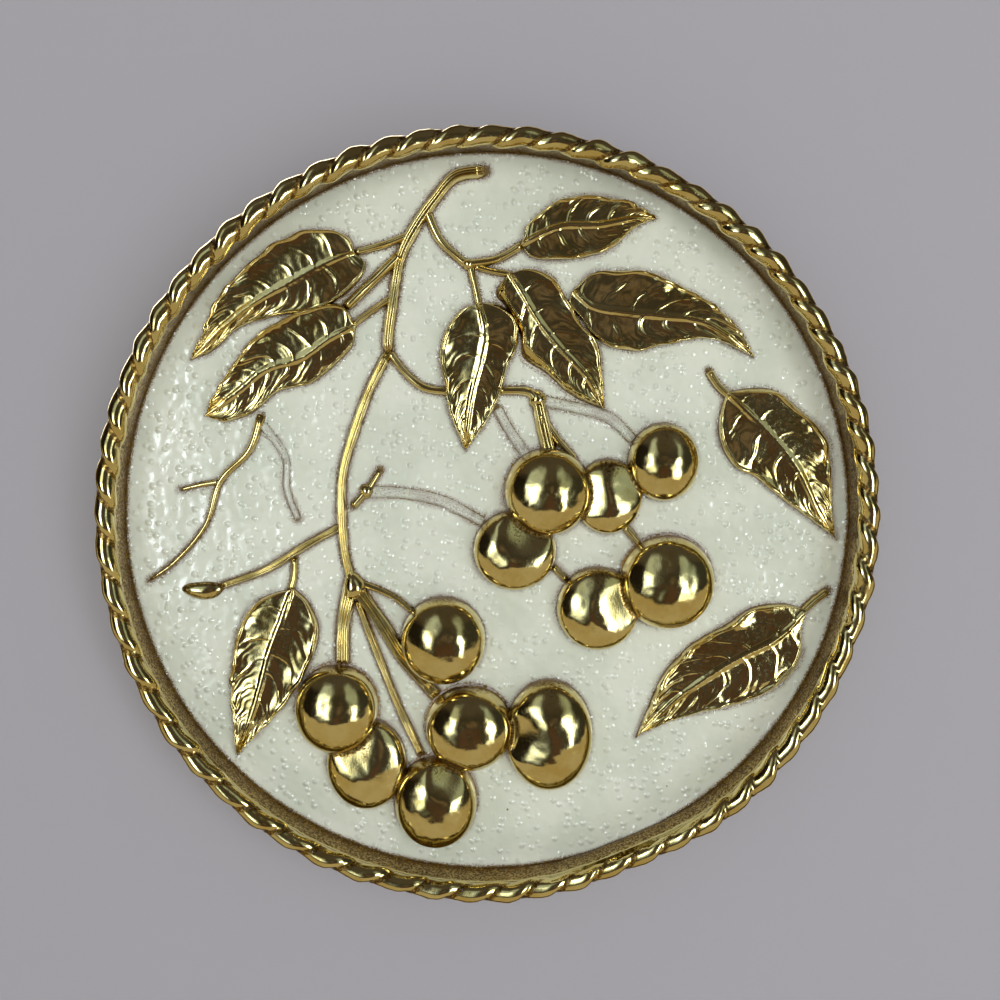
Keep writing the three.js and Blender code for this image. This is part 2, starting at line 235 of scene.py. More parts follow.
def merged(skins: list[Skin]) -> Skin:
    """Several skins as one, each still closed by itself and facing out."""
    skins = [outward(skin) for skin in skins]
    shifts = np.cumsum([0] + [len(skin.points) for skin in skins])
    faces = [face + shift for skin, shift in zip(skins, shifts) for face in skin.faces]
    lift = np.concatenate([skin.lift.ravel() for skin in skins])
    return Skin(np.vstack([skin.points for skin in skins]), faces, lift)


def ring_skin(points: Array, caps: bool = True) -> Skin:
    """Closed skin of loops of points, capped at both ends by fans to a middle point.

    Args:
        points: Loops by points by 3, in metres.
        caps: Adds the two fans. Without them the loops close into a ring.

    Returns:
        The skin.
    """
    loops, around = points.shape[:2]
    flat = points.reshape(-1, 3)
    faces = [quads(loops, around, ring=not caps)]
    if caps:
        flat = np.vstack([flat, points[0].mean(0), points[-1].mean(0)])
        j = np.arange(around)
        beside = (j + 1) % around
        last = (loops - 1) * around
        faces.append(np.stack([j, beside, np.full(around, loops * around)], -1))
        faces.append(np.stack([last + beside, last + j, np.full(around, loops * around + 1)], -1))
    return Skin(flat, faces)


def outward(skin: Skin) -> Skin:
    """The skin with its faces turned so that its signed volume, summed over fans, is positive."""
    volume = 0.0
    for face in skin.faces:
        corner = skin.points[face[:, 0]]
        for k in range(1, face.shape[1] - 1):
            cross = np.cross(skin.points[face[:, k]], skin.points[face[:, k + 1]])
            volume += float((corner * cross).sum())
    if volume < 0:
        skin.faces = [f[:, ::-1] for f in skin.faces]
    return skin


def make_piece(name: str, skin: Skin, material: Material) -> Piece:
    """Turns a skin into a smooth mesh that rides on the part and stands for its casting.

    Args:
        name: Piece name.
        skin: Closed skin.
        material: Its finish.

    Returns:
        The piece.
    """
    skin = outward(skin)
    mesh = bpy.data.meshes.new(name)
    mesh.from_pydata(skin.points.tolist(), [], [f for part in skin.faces for f in part.tolist()])
    mesh.polygons.foreach_set("use_smooth", np.ones(len(mesh.polygons), bool))
    for label, values in (("lift", skin.lift), ("paint", skin.paint)):
        if values is not None:
            layer = mesh.attributes.new(label, "FLOAT", "POINT")
            layer.data.foreach_set("value", np.asarray(values, np.float32))
    mesh.materials.append(material)
    mesh.validate()
    mesh.update()
    piece = bpy.data.objects.new(name, mesh)
    bpy.context.scene.collection.objects.link(piece)
    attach(piece, "root")
    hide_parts("plaque")
    log.info("%s: %d faces", name, len(mesh.polygons))
    return piece


def lifts(points: Array) -> Array:
    """Height above the ground in millimetres of points in the part's frame."""
    return -points[..., 1] * 1000 - GROUND_DEPTH


# ------------------------------------------------------------------ materials
EASED = {"interpolation_type": "SMOOTHSTEP"}   # a range that eases in and out
COLOURS = {"data_type": "RGBA"}                # a mix of two colours
TIMES_PLUS = {"operation": "MULTIPLY_ADD"}     # first times second, plus third


def node(tree: Tree, kind: str, *values: object, named: dict[str, object] | None = None,
         **settings: object) -> bpy.types.Node:
    """Adds one node with its settings, its socket values and its links.

    Args:
        tree: Node tree.
        kind: Blender's node type, without "ShaderNode".
        *values: What its inputs take, in order: a node, whose first output is linked, an output
            socket, or a plain value.
        named: The same by the names of the inputs.
        **settings: Properties of the node. They come first, as they choose which inputs it has.

    Returns:
        The node.
    """
    made = tree.nodes.new("ShaderNode" + kind)
    for key, value in settings.items():
        setattr(made, key, value)
    pairs = list(zip([socket for socket in made.inputs if socket.enabled], values))
    pairs += [(made.inputs[key], value) for key, value in (named or {}).items()]
    for socket, value in pairs:
        if isinstance(value, bpy.types.Node):
            value = next(output for output in value.outputs if output.enabled)
        if isinstance(value, bpy.types.NodeSocket):
            tree.links.new(value, socket)
        else:
            socket.default_value = value
    return made


def new_material(name: str) -> tuple[Material, Tree, bpy.types.Node]:
    """A material with nothing but a shader and its output."""
    material = bpy.data.materials.new(name)
    material.use_nodes = True
    tree = material.node_tree
    tree.nodes.clear()
    shader = node(tree, "BsdfPrincipled")
    node(tree, "OutputMaterial", shader)
    return material, tree, shader


@dataclass(frozen=True)
class GiltMetal:
    """Brass casting, polished by hand and lacquered.

    It mirrors the room like a dark gold glass. Hair scratches and a grain of casting pits break
    the mirror up, and brown tarnish and overspray of paint gather at the foot of every form. The
    same brown is painted shade in the rope's grooves, the cove inside the rope, the creases beside
    overlapping cherries and the cherries' upper side. The attribute "lift" says how far a point
    stands above that foot, in millimetres, and is lowered where that painted shade goes.
    """

    name: str = "polished_gilt_brass"
    metal: str = "#dccb92"
    deep: str = "#ceb674"
    # brown of the tarnish at the feet, also used as painted shade in grooves, the cove and on the cherries
    tarnish_and_shade_tone: str = "#86611f"
    pit: str = "#33240e"
    overspray: str = "#a39c98"
    roughness: float = 0.085
    pitting: float = 0.1          # share of tarnish in the pits of the open face
    tarnish_and_shade_top: float = 1.9      # where the tarnish and the painted shade end, in millimetres of lift
    spray_top: float = 0.4        # where the overspray ends
    ragged: float = 3.2           # how far the grain of the casting moves both ends
    pit_gap: float = 0.7          # spacing of the casting pits, in millimetres
    grain_height: float = 0.02    # how far the casting grain stands out
    scratch_gap: float = 0.3125   # spacing of the polishing scratches
    scratch_turn: float = 0.6     # their direction, in radians from upright

    def make(self) -> Material:
        """Builds the material."""
        material, tree, shader = new_material(self.name)
        where = node(tree, "TexCoord").outputs["Object"]
        lift = node(tree, "Attribute", attribute_name="lift").outputs["Fac"]
        broad, cloud, fine = (
            node(tree, "TexNoise", where, named={"Scale": 1000 / size, "Detail": detail, "Roughness": 0.6})
            for size, detail in ((9.0, 3.0), (5.0, 3.0), (self.pit_gap, 4.0)))
        ragged = node(tree, "Math", fine, self.ragged, -self.ragged / 2, **TIMES_PLUS)
        edge = node(tree, "Math", lift, ragged, operation="ADD")
        # foot: tarnish at the foot of each form, and painted shade wherever the lift is lowered for it
        foot = node(tree, "MapRange", edge, self.tarnish_and_shade_top, 0.5, **EASED)
        spray = node(tree, "MapRange", edge, self.spray_top, 0.0, **EASED)
        cloudy = node(tree, "MapRange", cloud, 0.52, 0.72, 0.0, self.pitting, **EASED)
        grainy = node(tree, "MapRange", fine, 0.42, 0.62, **EASED)
        pitted = node(tree, "MapRange", fine, 0.55, 0.4, 0.0, 0.75, **EASED)
        patches = node(tree, "Math", cloudy, grainy, operation="MULTIPLY")
        pits = node(tree, "Math", foot, pitted, operation="MULTIPLY")
        tint = node(tree, "MapRange", broad, 0.35, 0.7, **EASED)
        colour = linear(self.metal)
        for share, tone in ((tint, self.deep), (patches, self.tarnish_and_shade_tone), (foot, self.tarnish_and_shade_tone),
                            (pits, self.pit), (spray, self.overspray)):
            colour = node(tree, "Mix", share, colour, linear(tone), **COLOURS)
        grained = node(tree, "MapRange", fine, 0.45, 0.75, self.roughness, self.roughness + 0.1, **EASED)
        rough = node(tree, "Math", foot, 0.3, grained, **TIMES_PLUS)
        turned = node(tree, "Mapping", where, named={"Rotation": (0.0, self.scratch_turn, 0.0),
                                                     "Scale": (1.0, 1.0, 0.06)})
        scratch = node(tree, "TexNoise", turned, named={"Scale": 1000 / self.scratch_gap, "Detail": 2.0})
        height = node(tree, "Math", scratch, 0.35, fine, **TIMES_PLUS)
        bump = node(tree, "Bump", named={"Height": height, "Strength": 1.0,
                                         "Distance": self.grain_height / 1000})
        metallic = node(tree, "Math", 1.0, spray, operation="SUBTRACT")
        for name, output in (("Base Color", colour.outputs[2]), ("Metallic", metallic.outputs[0]),
                             ("Roughness", rough.outputs[0]), ("Normal", bump.outputs[0])):
            tree.links.new(output, shader.inputs[name])
        return material


@dataclass(frozen=True)
class CreamPaint:
    """Cream gloss paint sprayed over a hammered casting.

    Its shine breaks into small glints on the drops it dried in. It thins out to a grey fuzz, with
    the brown of the metal in it, where it meets the gilt; that grey band is also painted shadow at
    the feet of the gilt forms and the rim. The attribute "paint" is the distance to the nearest
    gilt form, in millimetres.
    """

    name: str = "cream_gloss_paint"
    cream: str = "#dbdfd1"
    shade: str = "#ced4c5"
    fuzz_and_shadow: str = "#b9b6ad"
    worn: str = "#6e5a35"
    drop_gap: float = 2.8        # spacing of the drops in the paint, in millimetres
    drop_height: float = 0.5     # how far they stand out
    chip_gap: float = 26.0       # spacing of the chipped specks
    spray_grain: float = 0.35    # grain of the spray at its edge
    roughness: float = 0.14

    def make(self) -> Material:
        """Builds the material."""
        material, tree, shader = new_material(self.name)
        where = node(tree, "TexCoord").outputs["Object"]
        near = node(tree, "Attribute", attribute_name="paint").outputs["Fac"]
        cloud, drift, mist, torn, dent = (
            node(tree, "TexNoise", where, named={"Scale": 1000 / size, "Detail": detail, "Roughness": 0.6})
            for size, detail in ((22.0, 3.0), (9.0, 3.0), (self.spray_grain, 3.0), (0.5, 2.0), (2.2, 0.0)))
        mist, drift = (node(tree, "Math", noise, spread, -spread / 2, **TIMES_PLUS)
                       for noise, spread in ((mist, 4.5), (drift, 3.0)))
        misty = node(tree, "Math", near, mist, operation="ADD")
        drifting = node(tree, "Math", misty, drift, operation="ADD")
        chips = node(tree, "TexVoronoi", where, named={"Scale": 1000 / self.chip_gap})
        chip = node(tree, "Math", torn, 0.02, chips, **TIMES_PLUS)
        colour = linear(self.cream)
        # the grey band next to the gilt is thin paint and painted shadow at the feet of the forms
        for value, low, high, tone in ((cloud, 0.35, 0.65, self.shade), (drifting, 1.1, 0.2, self.fuzz_and_shadow),
                                       (misty, 0.3, -0.2, self.worn), (chip, 0.026, 0.020, self.worn)):
            share = node(tree, "MapRange", value, low, high, **EASED)
            colour = node(tree, "Mix", share, colour, linear(tone), **COLOURS)
        drops = node(tree, "TexVoronoi", where, named={"Scale": 1000 / self.drop_gap})
        drops = node(tree, "MapRange", drops, 0.46, 0.0, **EASED)
        height = node(tree, "Math", dent, 0.35, drops, **TIMES_PLUS)
        bump = node(tree, "Bump", named={"Height": height, "Strength": 1.0,
                                         "Distance": self.drop_height / 1000})
        tree.links.new(colour.outputs[2], shader.inputs["Base Color"])
        tree.links.new(bump.outputs[0], shader.inputs["Normal"])
        shader.inputs["Roughness"].default_value = self.roughness
        shader.inputs["IOR"].default_value = 1.5
        shader.inputs["Specular IOR Level"].default_value = 0.75
        return material


@dataclass(frozen=True)
class PlainWall:
    """Matt pale wall paint for the stage."""

    name: str
    colour: str
    one_sided: bool = False

    def make(self) -> Material:
        """Builds the material. A one-sided wall is clear when seen from behind."""
        material, tree, shader = new_material(self.name)
        shader.inputs["Base Color"].default_value = linear(self.colour)
        shader.inputs["Roughness"].default_value = 0.9
        shader.inputs["Specular IOR Level"].default_value = 0.1
        if self.one_sided:
            behind = node(tree, "NewGeometry").outputs["Backfacing"]
            mix = node(tree, "MixShader", behind, shader, node(tree, "BsdfTransparent"))
            out = next(n for n in tree.nodes if n.type == "OUTPUT_MATERIAL")
            tree.links.new(mix.outputs[0], out.inputs["Surface"])
        return material


# ------------------------------------------------------------------ relief forms
@dataclass
class Cherry:
    """One cherry: a dome on an ellipse.

    The height is H * (1 - (c r)^p)^(1/2) * (1 - r^w)^(1/2), where r is 0 at the middle and 1 at
    the outline. The first root is a ball that would reach past the outline, the second an upright
    wall that cuts it short. A cherry that lies on another one hides its wall in it. The lower one
    gives way: beside the upper one its height is kept under a slope that starts at the top of the
    upper one's wall.
    """

    name: str
    at: tuple[float, float]
    size: tuple[float, float]     # half width and half height on the plan
    rise: float                   # share of the full height
    power: float = 2.2
    over: tuple[str, ...] = ()    # names of the cherries it lies on
    slope: float = 0.75           # how steeply it climbs away from one over it
    bead: float = 0.0             # width of the rolled edge
    dents: float = 0.11           # height of the unevenness that hand finishing left
    press: tuple[tuple[float, ...], ...] = ()   # x, z, reach and depth of each flattened place
    rows: int = 44
    columns: int = 112
    above: list["Cherry"] = field(default_factory=list, repr=False)
    below: list["Cherry"] = field(default_factory=list, repr=False)

    @property
    def height(self) -> float:
        """Top of the cherry above the ground."""
        return CHERRY_RISE * min(self.size) * self.rise

    @property
    def shoulder(self) -> float:
        """Top of its upright wall above the ground."""
        return self.height * math.sqrt(1 - CHERRY_CUT**self.power)

    def surface(self, share: Array, angle: Array) -> tuple[Array, Array, Array]:
        """Plan x, z and height at a share of the radius in a direction."""
        x = self.at[0] + self.size[0] * share * np.cos(angle)
        z = self.at[1] + self.size[1] * share * np.sin(angle)
        edge = 1 - self.bead / min(self.size)
        part = np.minimum(share / edge, 1)
        dome = np.sqrt((1 - (CHERRY_CUT * part) ** self.power) * (1 - part**CHERRY_EDGE))
        roll = 0.5 * self.bead * np.sqrt(np.maximum(1 - ((share - edge) / (1 - edge + 1e-9)) ** 2, 0))
        h = np.maximum(self.height * dome, roll * (self.bead > 0))
        seed = int(abs(self.at[0]) * 10)
        inside = 1 - share**8
        h = h + self.dents * (ripple(x, z, 9, seed) + 0.25 * ripple(x, z, 3.5, seed + 1)) * inside
        for px, pz, far, depth in self.press:
            h = h - depth * np.exp(-((x - px) ** 2 + (z - pz) ** 2) / far**2) * (1 - share**6)
        for cherry in self.above:
            cap = CHERRY_CAP * cherry.shoulder + self.slope * np.maximum(cherry.outside(x, z), 0)
            mixed = np.clip(0.5 + 0.5 * (h - cap) / CHERRY_EASE, 0, 1)
            h = h + (cap - h) * mixed - CHERRY_EASE * mixed * (1 - mixed) * inside
        return x, z, h

    def polar(self, x: Array, z: Array) -> tuple[Array, Array]:
        """Share of the radius and direction of plan points."""
        u, v = (x - self.at[0]) / self.size[0], (z - self.at[1]) / self.size[1]
        return np.hypot(u, v), np.arctan2(v, u)

    def height_at(self, x: Array, z: Array) -> Array:
        """Height over plan points, and NOWHERE outside the outline."""
        share, angle = self.polar(x, z)
        return np.where(share < 1, self.surface(np.minimum(share, 1), angle)[2], NOWHERE)

    def outside(self, x: Array, z: Array) -> Array:
        """Rough distance in millimetres from the outline, below 0 inside it."""
        return (self.polar(x, z)[0] - 1) * min(self.size)

    def root(self, x: Array, z: Array) -> Array:
        """Lowest level: in the ground, or in the metal of a cherry that it lies on or under."""
        level = np.full(x.shape, -ROOT)
        for cherry in self.below:
            level = np.maximum(level, cherry.height_at(x, z) - SHELL)
        for cherry in self.above:
            level = np.maximum(level, cherry.height_at(x, z) - 0.85 * CHERRY_WALL)
        return level

    def build(self, material: Material) -> Piece:
        """Meshes the shell, from its top over the wall to its root and up inside, and dresses it.

        The lift that carries the tarnish is the height, lowered on the upper side as painted shade
        for its darker top, and lowered next to a cherry that lies over this one as painted shade in
        the crease between them.
        """
        angle = np.linspace(0, 2 * math.pi, self.columns, endpoint=False)[None, :]
        share = np.sin(np.linspace(0, math.pi / 2, self.rows))[1:, None]
        x, z, h = self.surface(*np.broadcast_arrays(share, angle))
        inner = np.linspace(0.9, 0.1, 9)[:, None]
        in_x, in_z, in_h = self.surface(*np.broadcast_arrays(inner, angle))
        fall = np.linspace(0, 1, 5)[1:, None]
        foot = h[-1:] + (self.root(x[-1:], z[-1:]) - h[-1:]) * fall
        x = np.vstack([x, 0 * foot + x[-1:], in_x[:1], in_x])
        z = np.vstack([z, 0 * foot + z[-1:], in_z[:1], in_z])
        h = np.vstack([h, foot, self.root(in_x[:1], in_z[:1]), in_h - SHELL])
        h = np.maximum(h, self.root(x, z))
        skin = ring_skin(place(x, z, h))
        top, middle = len(skin.points) - 2, self.surface(np.zeros(1), np.zeros(1))[2][0]
        for point, height in ((top, middle), (top + 1, middle - SHELL)):
            skin.points[point] = place(np.array(self.at[0]), np.array(self.at[1]), np.array(height))
        # painted shade: the upper side gets a lower lift, so the tarnish brown darkens it
        lift = h * (1 - TOP_SHADE * np.maximum(0, np.sin(angle)) ** 2)
        # painted shade: a low lift puts the tarnish brown in the crease beside a cherry that lies over
        # this one
        for cherry in self.above:
            lift = np.minimum(lift, 0.8 + 1.5 * np.maximum(cherry.outside(x, z), 0))
        skin.lift = np.concatenate([lift.ravel(), [BRIGHT, BRIGHT]])
        return make_piece(self.name, skin, material)


@dataclass
class Leaf:
    """One leaf, laid out from its midrib to its two outlines.

    A point is found by the share u along the midrib and the share across to the outline, where
    lines of constant u run forward to the edge as the side veins do. The height runs from the
    midrib to the lip, and adds the veins as bell-shaped ridges, a swell or hollow between each
    pair of them, fine folds, a slow roll of the blade and the bead of the lip. Outside the lip
    it falls to the ground.
    """

    name: str
    base: tuple[float, float]
    tip: tuple[float, float]
    rib: Pairs                                 # midrib between base and tip
    left: Pairs                                # outline on its left, seen from the front
    right: Pairs
    veins: int = 8                             # pairs of side veins
    height: float = 3.4                        # midrib above the ground
    lips: tuple[float, float] = (2.7, 2.7)     # rolled edge above the ground, left and right
    skirts: tuple[float, float] = (0.5, 0.5)   # how far each side slopes out below its lip
    seed: int = 1
    sweep: float = 0.23                        # how far a side vein runs forward along the leaf
    pillow: float = 0.15                       # swell of the blade between two veins
    step: float = 0.5                          # how far the blade lies below the midrib next to it
    vein_rise: float = 0.3
    vein_width: float = 0.25
    crease: float = 0.04                       # fine folds between the veins
    buckle: float = 0.14                       # slow roll of the whole blade
    wave: float = 0.4                          # up and down of the edge
    roll: float = 0.45                         # bead that the edge is rolled into
    rib_line: Curve | None = field(default=None, repr=False)
    outline: Array | None = field(default=None, repr=False)

    def tall(self, u: Array) -> Array:
        """Share of the full height along the leaf: a little less at its base, half at its tip."""
        return (0.86 + 0.14 * smoothstep(0, 0.12, u)) * (1 - 0.5 * smoothstep(0.8, 1.0, u))

    def blade(self, x: Array, z: Array, u: Array, across: Array, away: Array, lip: float,
              seed: int) -> Array:
        """Height of one side between the midrib and the lip.

        Args:
            x: Plan x of the points.
            z: Plan z of the points.
            u: Shares along the midrib, a column.
            across: Shares from the midrib to the edge, a row.
            away: Distances from the midrib in millimetres.
            lip: Height of the rolled edge.
            seed: Pattern of the side.

        Returns:
            Heights above the ground.
        """
        cells = self.veins + 1.0
        cell = u * cells + 0.5 * (seed % 2) + 0.1 * ripple(x, z, 11, seed + 9)
        phase = cell - np.floor(cell)
        from_vein = np.minimum(phase, 1 - phase) / cells * self.rib_line.length
        inner = self.height - self.step * (1 - np.exp(-(away / 0.85) ** 4))
        h = inner + (lip - inner) * across**1.8 - 0.2 * np.sin(math.pi * across)
        own = np.random.default_rng(seed).uniform(-1.3, 0.9, 24)[np.floor(cell).astype(int) % 24]
        puff = self.pillow * own * np.sin(math.pi * phase) ** 1.5 * np.sin(math.pi * across) ** 0.8
        vein = self.vein_rise * np.exp(-(from_vein / self.vein_width) ** 2) * (1 - across**3)
        vein = vein * smoothstep(0.0, 0.15, across) * (0.8 + 0.4 * ripple(x, z, 6, seed + 13))
        vein = vein * smoothstep(0.3, 0.8, cell) * (1 - smoothstep(cells - 0.8, cells - 0.2, cell))
        folds = np.sin(2 * math.pi * 2.7 * cell + 2.5 * ripple(x, z, 6, seed + 17)) * across**0.5
        uneven = self.crease * folds + 0.5 * self.crease * ripple(x, z, 3, seed + 7)
        uneven = uneven + self.buckle * ripple(x, z, 16, seed) * across**0.7
        uneven = uneven + self.wave * ripple(x, z, 8, seed + 3) * across**4
        uneven = uneven + puff + self.roll * np.exp(-((across - 0.965) / 0.03) ** 2)
        taper = smoothstep(0, 0.16, u) * (1 - smoothstep(0.86, 1.0, u))
        return np.maximum((h + vein + uneven * taper) * self.tall(u), 0.35)

    def side(self, edge: Curve, u: Array, lip: float, skirt: float,
             seed: int) -> tuple[Array, Array, Array]:
        """Points from next to the midrib out to the root of one side.

        Args:
            edge: Outline of the side.
            u: Shares along the midrib, a column.
            lip: Height of the rolled edge.
            skirt: How far the side slopes out below the lip.
            seed: Pattern of the side.

        Returns:
            Plan x, z and heights, by u and by steps across.
        """
        across = np.sin(np.linspace(0, math.pi / 2, 30))[1:][None, :]
        outer = edge.at(u + self.sweep * 4 * u * (1 - u) * across**1.05)
        middle, level = self.rib_line.at(u[:, 0])[:, None], edge.at(u)
        width = np.linalg.norm(level - middle, axis=-1)
        skirt = skirt + 0.3 * ripple(level[..., 0], level[..., 1], 6, seed + 5)
        inset = np.clip(skirt / np.maximum(width, 0.3), 0, 0.5)
        spot = middle + (outer - middle) * (across * (1 - inset))[..., None]
        x, z = spot[..., 0], spot[..., 1]
        h = self.blade(x, z, u, across, width * across, lip, seed)
        drop = np.linspace(0, 1, 7)[1:][None, :]
        x = np.hstack([x, x[:, -1:] + (outer[:, -1:, 0] - x[:, -1:]) * drop**0.8])
        z = np.hstack([z, z[:, -1:] + (outer[:, -1:, 1] - z[:, -1:]) * drop**0.8])
        return x, z, np.hstack([h, h[:, -1:] + (-ROOT - h[:, -1:]) * drop**1.3])

    def build(self, material: Material) -> Piece:
        """Meshes the leaf as loops across it, from base to tip, and dresses it."""
        self.rib_line, left, right = (Curve((self.base, *line, self.tip))
                                      for line in (self.rib, self.left, self.right))
        u = np.linspace(0.004, 0.996, int(self.rib_line.length * 2.6))[:, None]
        one = self.side(left, u, self.lips[0], self.skirts[0], self.seed)
        two = self.side(right, u, self.lips[1], self.skirts[1], self.seed + 21)
        spot = self.rib_line.at(u)
        ridge = (self.height - 0.14) * self.tall(u)
        loops = [np.hstack([a[:, ::-1], m, b]) for a, m, b in
                 zip(one, (spot[..., 0], spot[..., 1], ridge), two)]
        self.outline = np.vstack([left.at(np.linspace(0, 1, 70)), right.at(np.linspace(1, 0, 70))])
        skin = ring_skin(place(*loops))
        skin.lift = lifts(skin.points)
        return make_piece(self.name, skin, material)


@dataclass
class Stem:
    """A stem: a ridge, or two or three side by side, carried along its centre line.

    Across the stem the height is that of a flattened half circle with a cosine that cuts it into
    its ridges. Slow sines make it knotty.
    """

    path: Pairs
    width: float
    height: float
    end: float        # share of both that is left at the far end
    ridges: int = 1

    def line(self) -> Curve:
        """Centre line."""
        return Curve(self.path)

    def skin(self, seed: int) -> Skin:
        """Meshes the stem as loops along its path."""
        line = self.line()
        count = max(int(line.length * 1.6), 8)
        u = np.linspace(0, 1, count)[:, None]
        size = 1 + (self.end - 1) * u
        run = line.length * u
        wobble = 1 + 0.07 * np.sin(run / 4.3 + seed) + 0.03 * np.sin(run / 1.7 + 2 * seed)
        across = np.linspace(-1, 1, 17)[None, :]
        half = 0.44 * self.width * size * wobble
        round_top = np.sqrt(np.maximum(1 - across**2, 0))
        cut = 1 - 0.42 * (self.ridges > 1) * (0.5 + 0.5 * np.cos(math.pi * across * self.ridges
                                                               + math.pi * (self.ridges % 2)))
        h = self.height * size * wobble * round_top * cut
        close = 1 - 0.6 * (smoothstep(0.035, 0.0, u) + smoothstep(0.965, 1.0, u))
        h = h * close
        middle, along = line.at(u), line.along(u)
        out = across * half * (1 - 0.25 * (1 - close))
        x = middle[..., 0] - along[..., 1] * out
        z = middle[..., 1] + along[..., 0] * out
        x = np.hstack([x[:, :1], x, x[:, -1:]])
        z = np.hstack([z[:, :1], z, z[:, -1:]])
        root = np.full_like(x[:, :1], -ROOT)
        skin = ring_skin(place(x, z, np.hstack([root, h, root])))
        skin.lift = lifts(skin.points) * 1.5
        return skin


@dataclass
class Spray:
    """Stems and knots that belong together and are one piece."""

    name: str
    stems: list[Stem]
    knots: tuple[tuple[tuple[float, float], tuple[float, float], float], ...] = ()
    slot: Slot = Slot.GILT

    def knot(self, at: tuple[float, float], size: tuple[float, float], rise: float) -> Skin:
        """A small dome: an ellipse on the plan that rises in a quarter circle."""
        angle = np.linspace(0, 2 * math.pi, 28, endpoint=False)[None, :]
        share = np.sin(np.linspace(0.03, math.pi / 2, 9))[:, None]
        bump = 1 + 0.08 * np.sin(3 * angle + at[0])
        x = at[0] + size[0] * share * np.cos(angle) * bump
        z = at[1] + size[1] * share * np.sin(angle) * bump
        h = rise * np.sqrt(1 - share**2) + 0 * angle
        root = np.full_like(x[-1:], -ROOT)
        skin = ring_skin(place(np.vstack([x, x[-1:]]), np.vstack([z, z[-1:]]), np.vstack([h, root])))
        skin.lift = lifts(skin.points)
        return skin

    def build(self, material: Material) -> Piece:
        """Meshes every stem and knot and dresses them as one piece."""
        skins = [stem.skin(n + 1) for n, stem in enumerate(self.stems)]
        whole = merged(skins + [self.knot(*knot) for knot in self.knots])
        if self.slot is Slot.CREAM:
            whole.paint = np.full(len(whole.points), THIN_PAINT)
        return make_piece(self.name, whole, material)


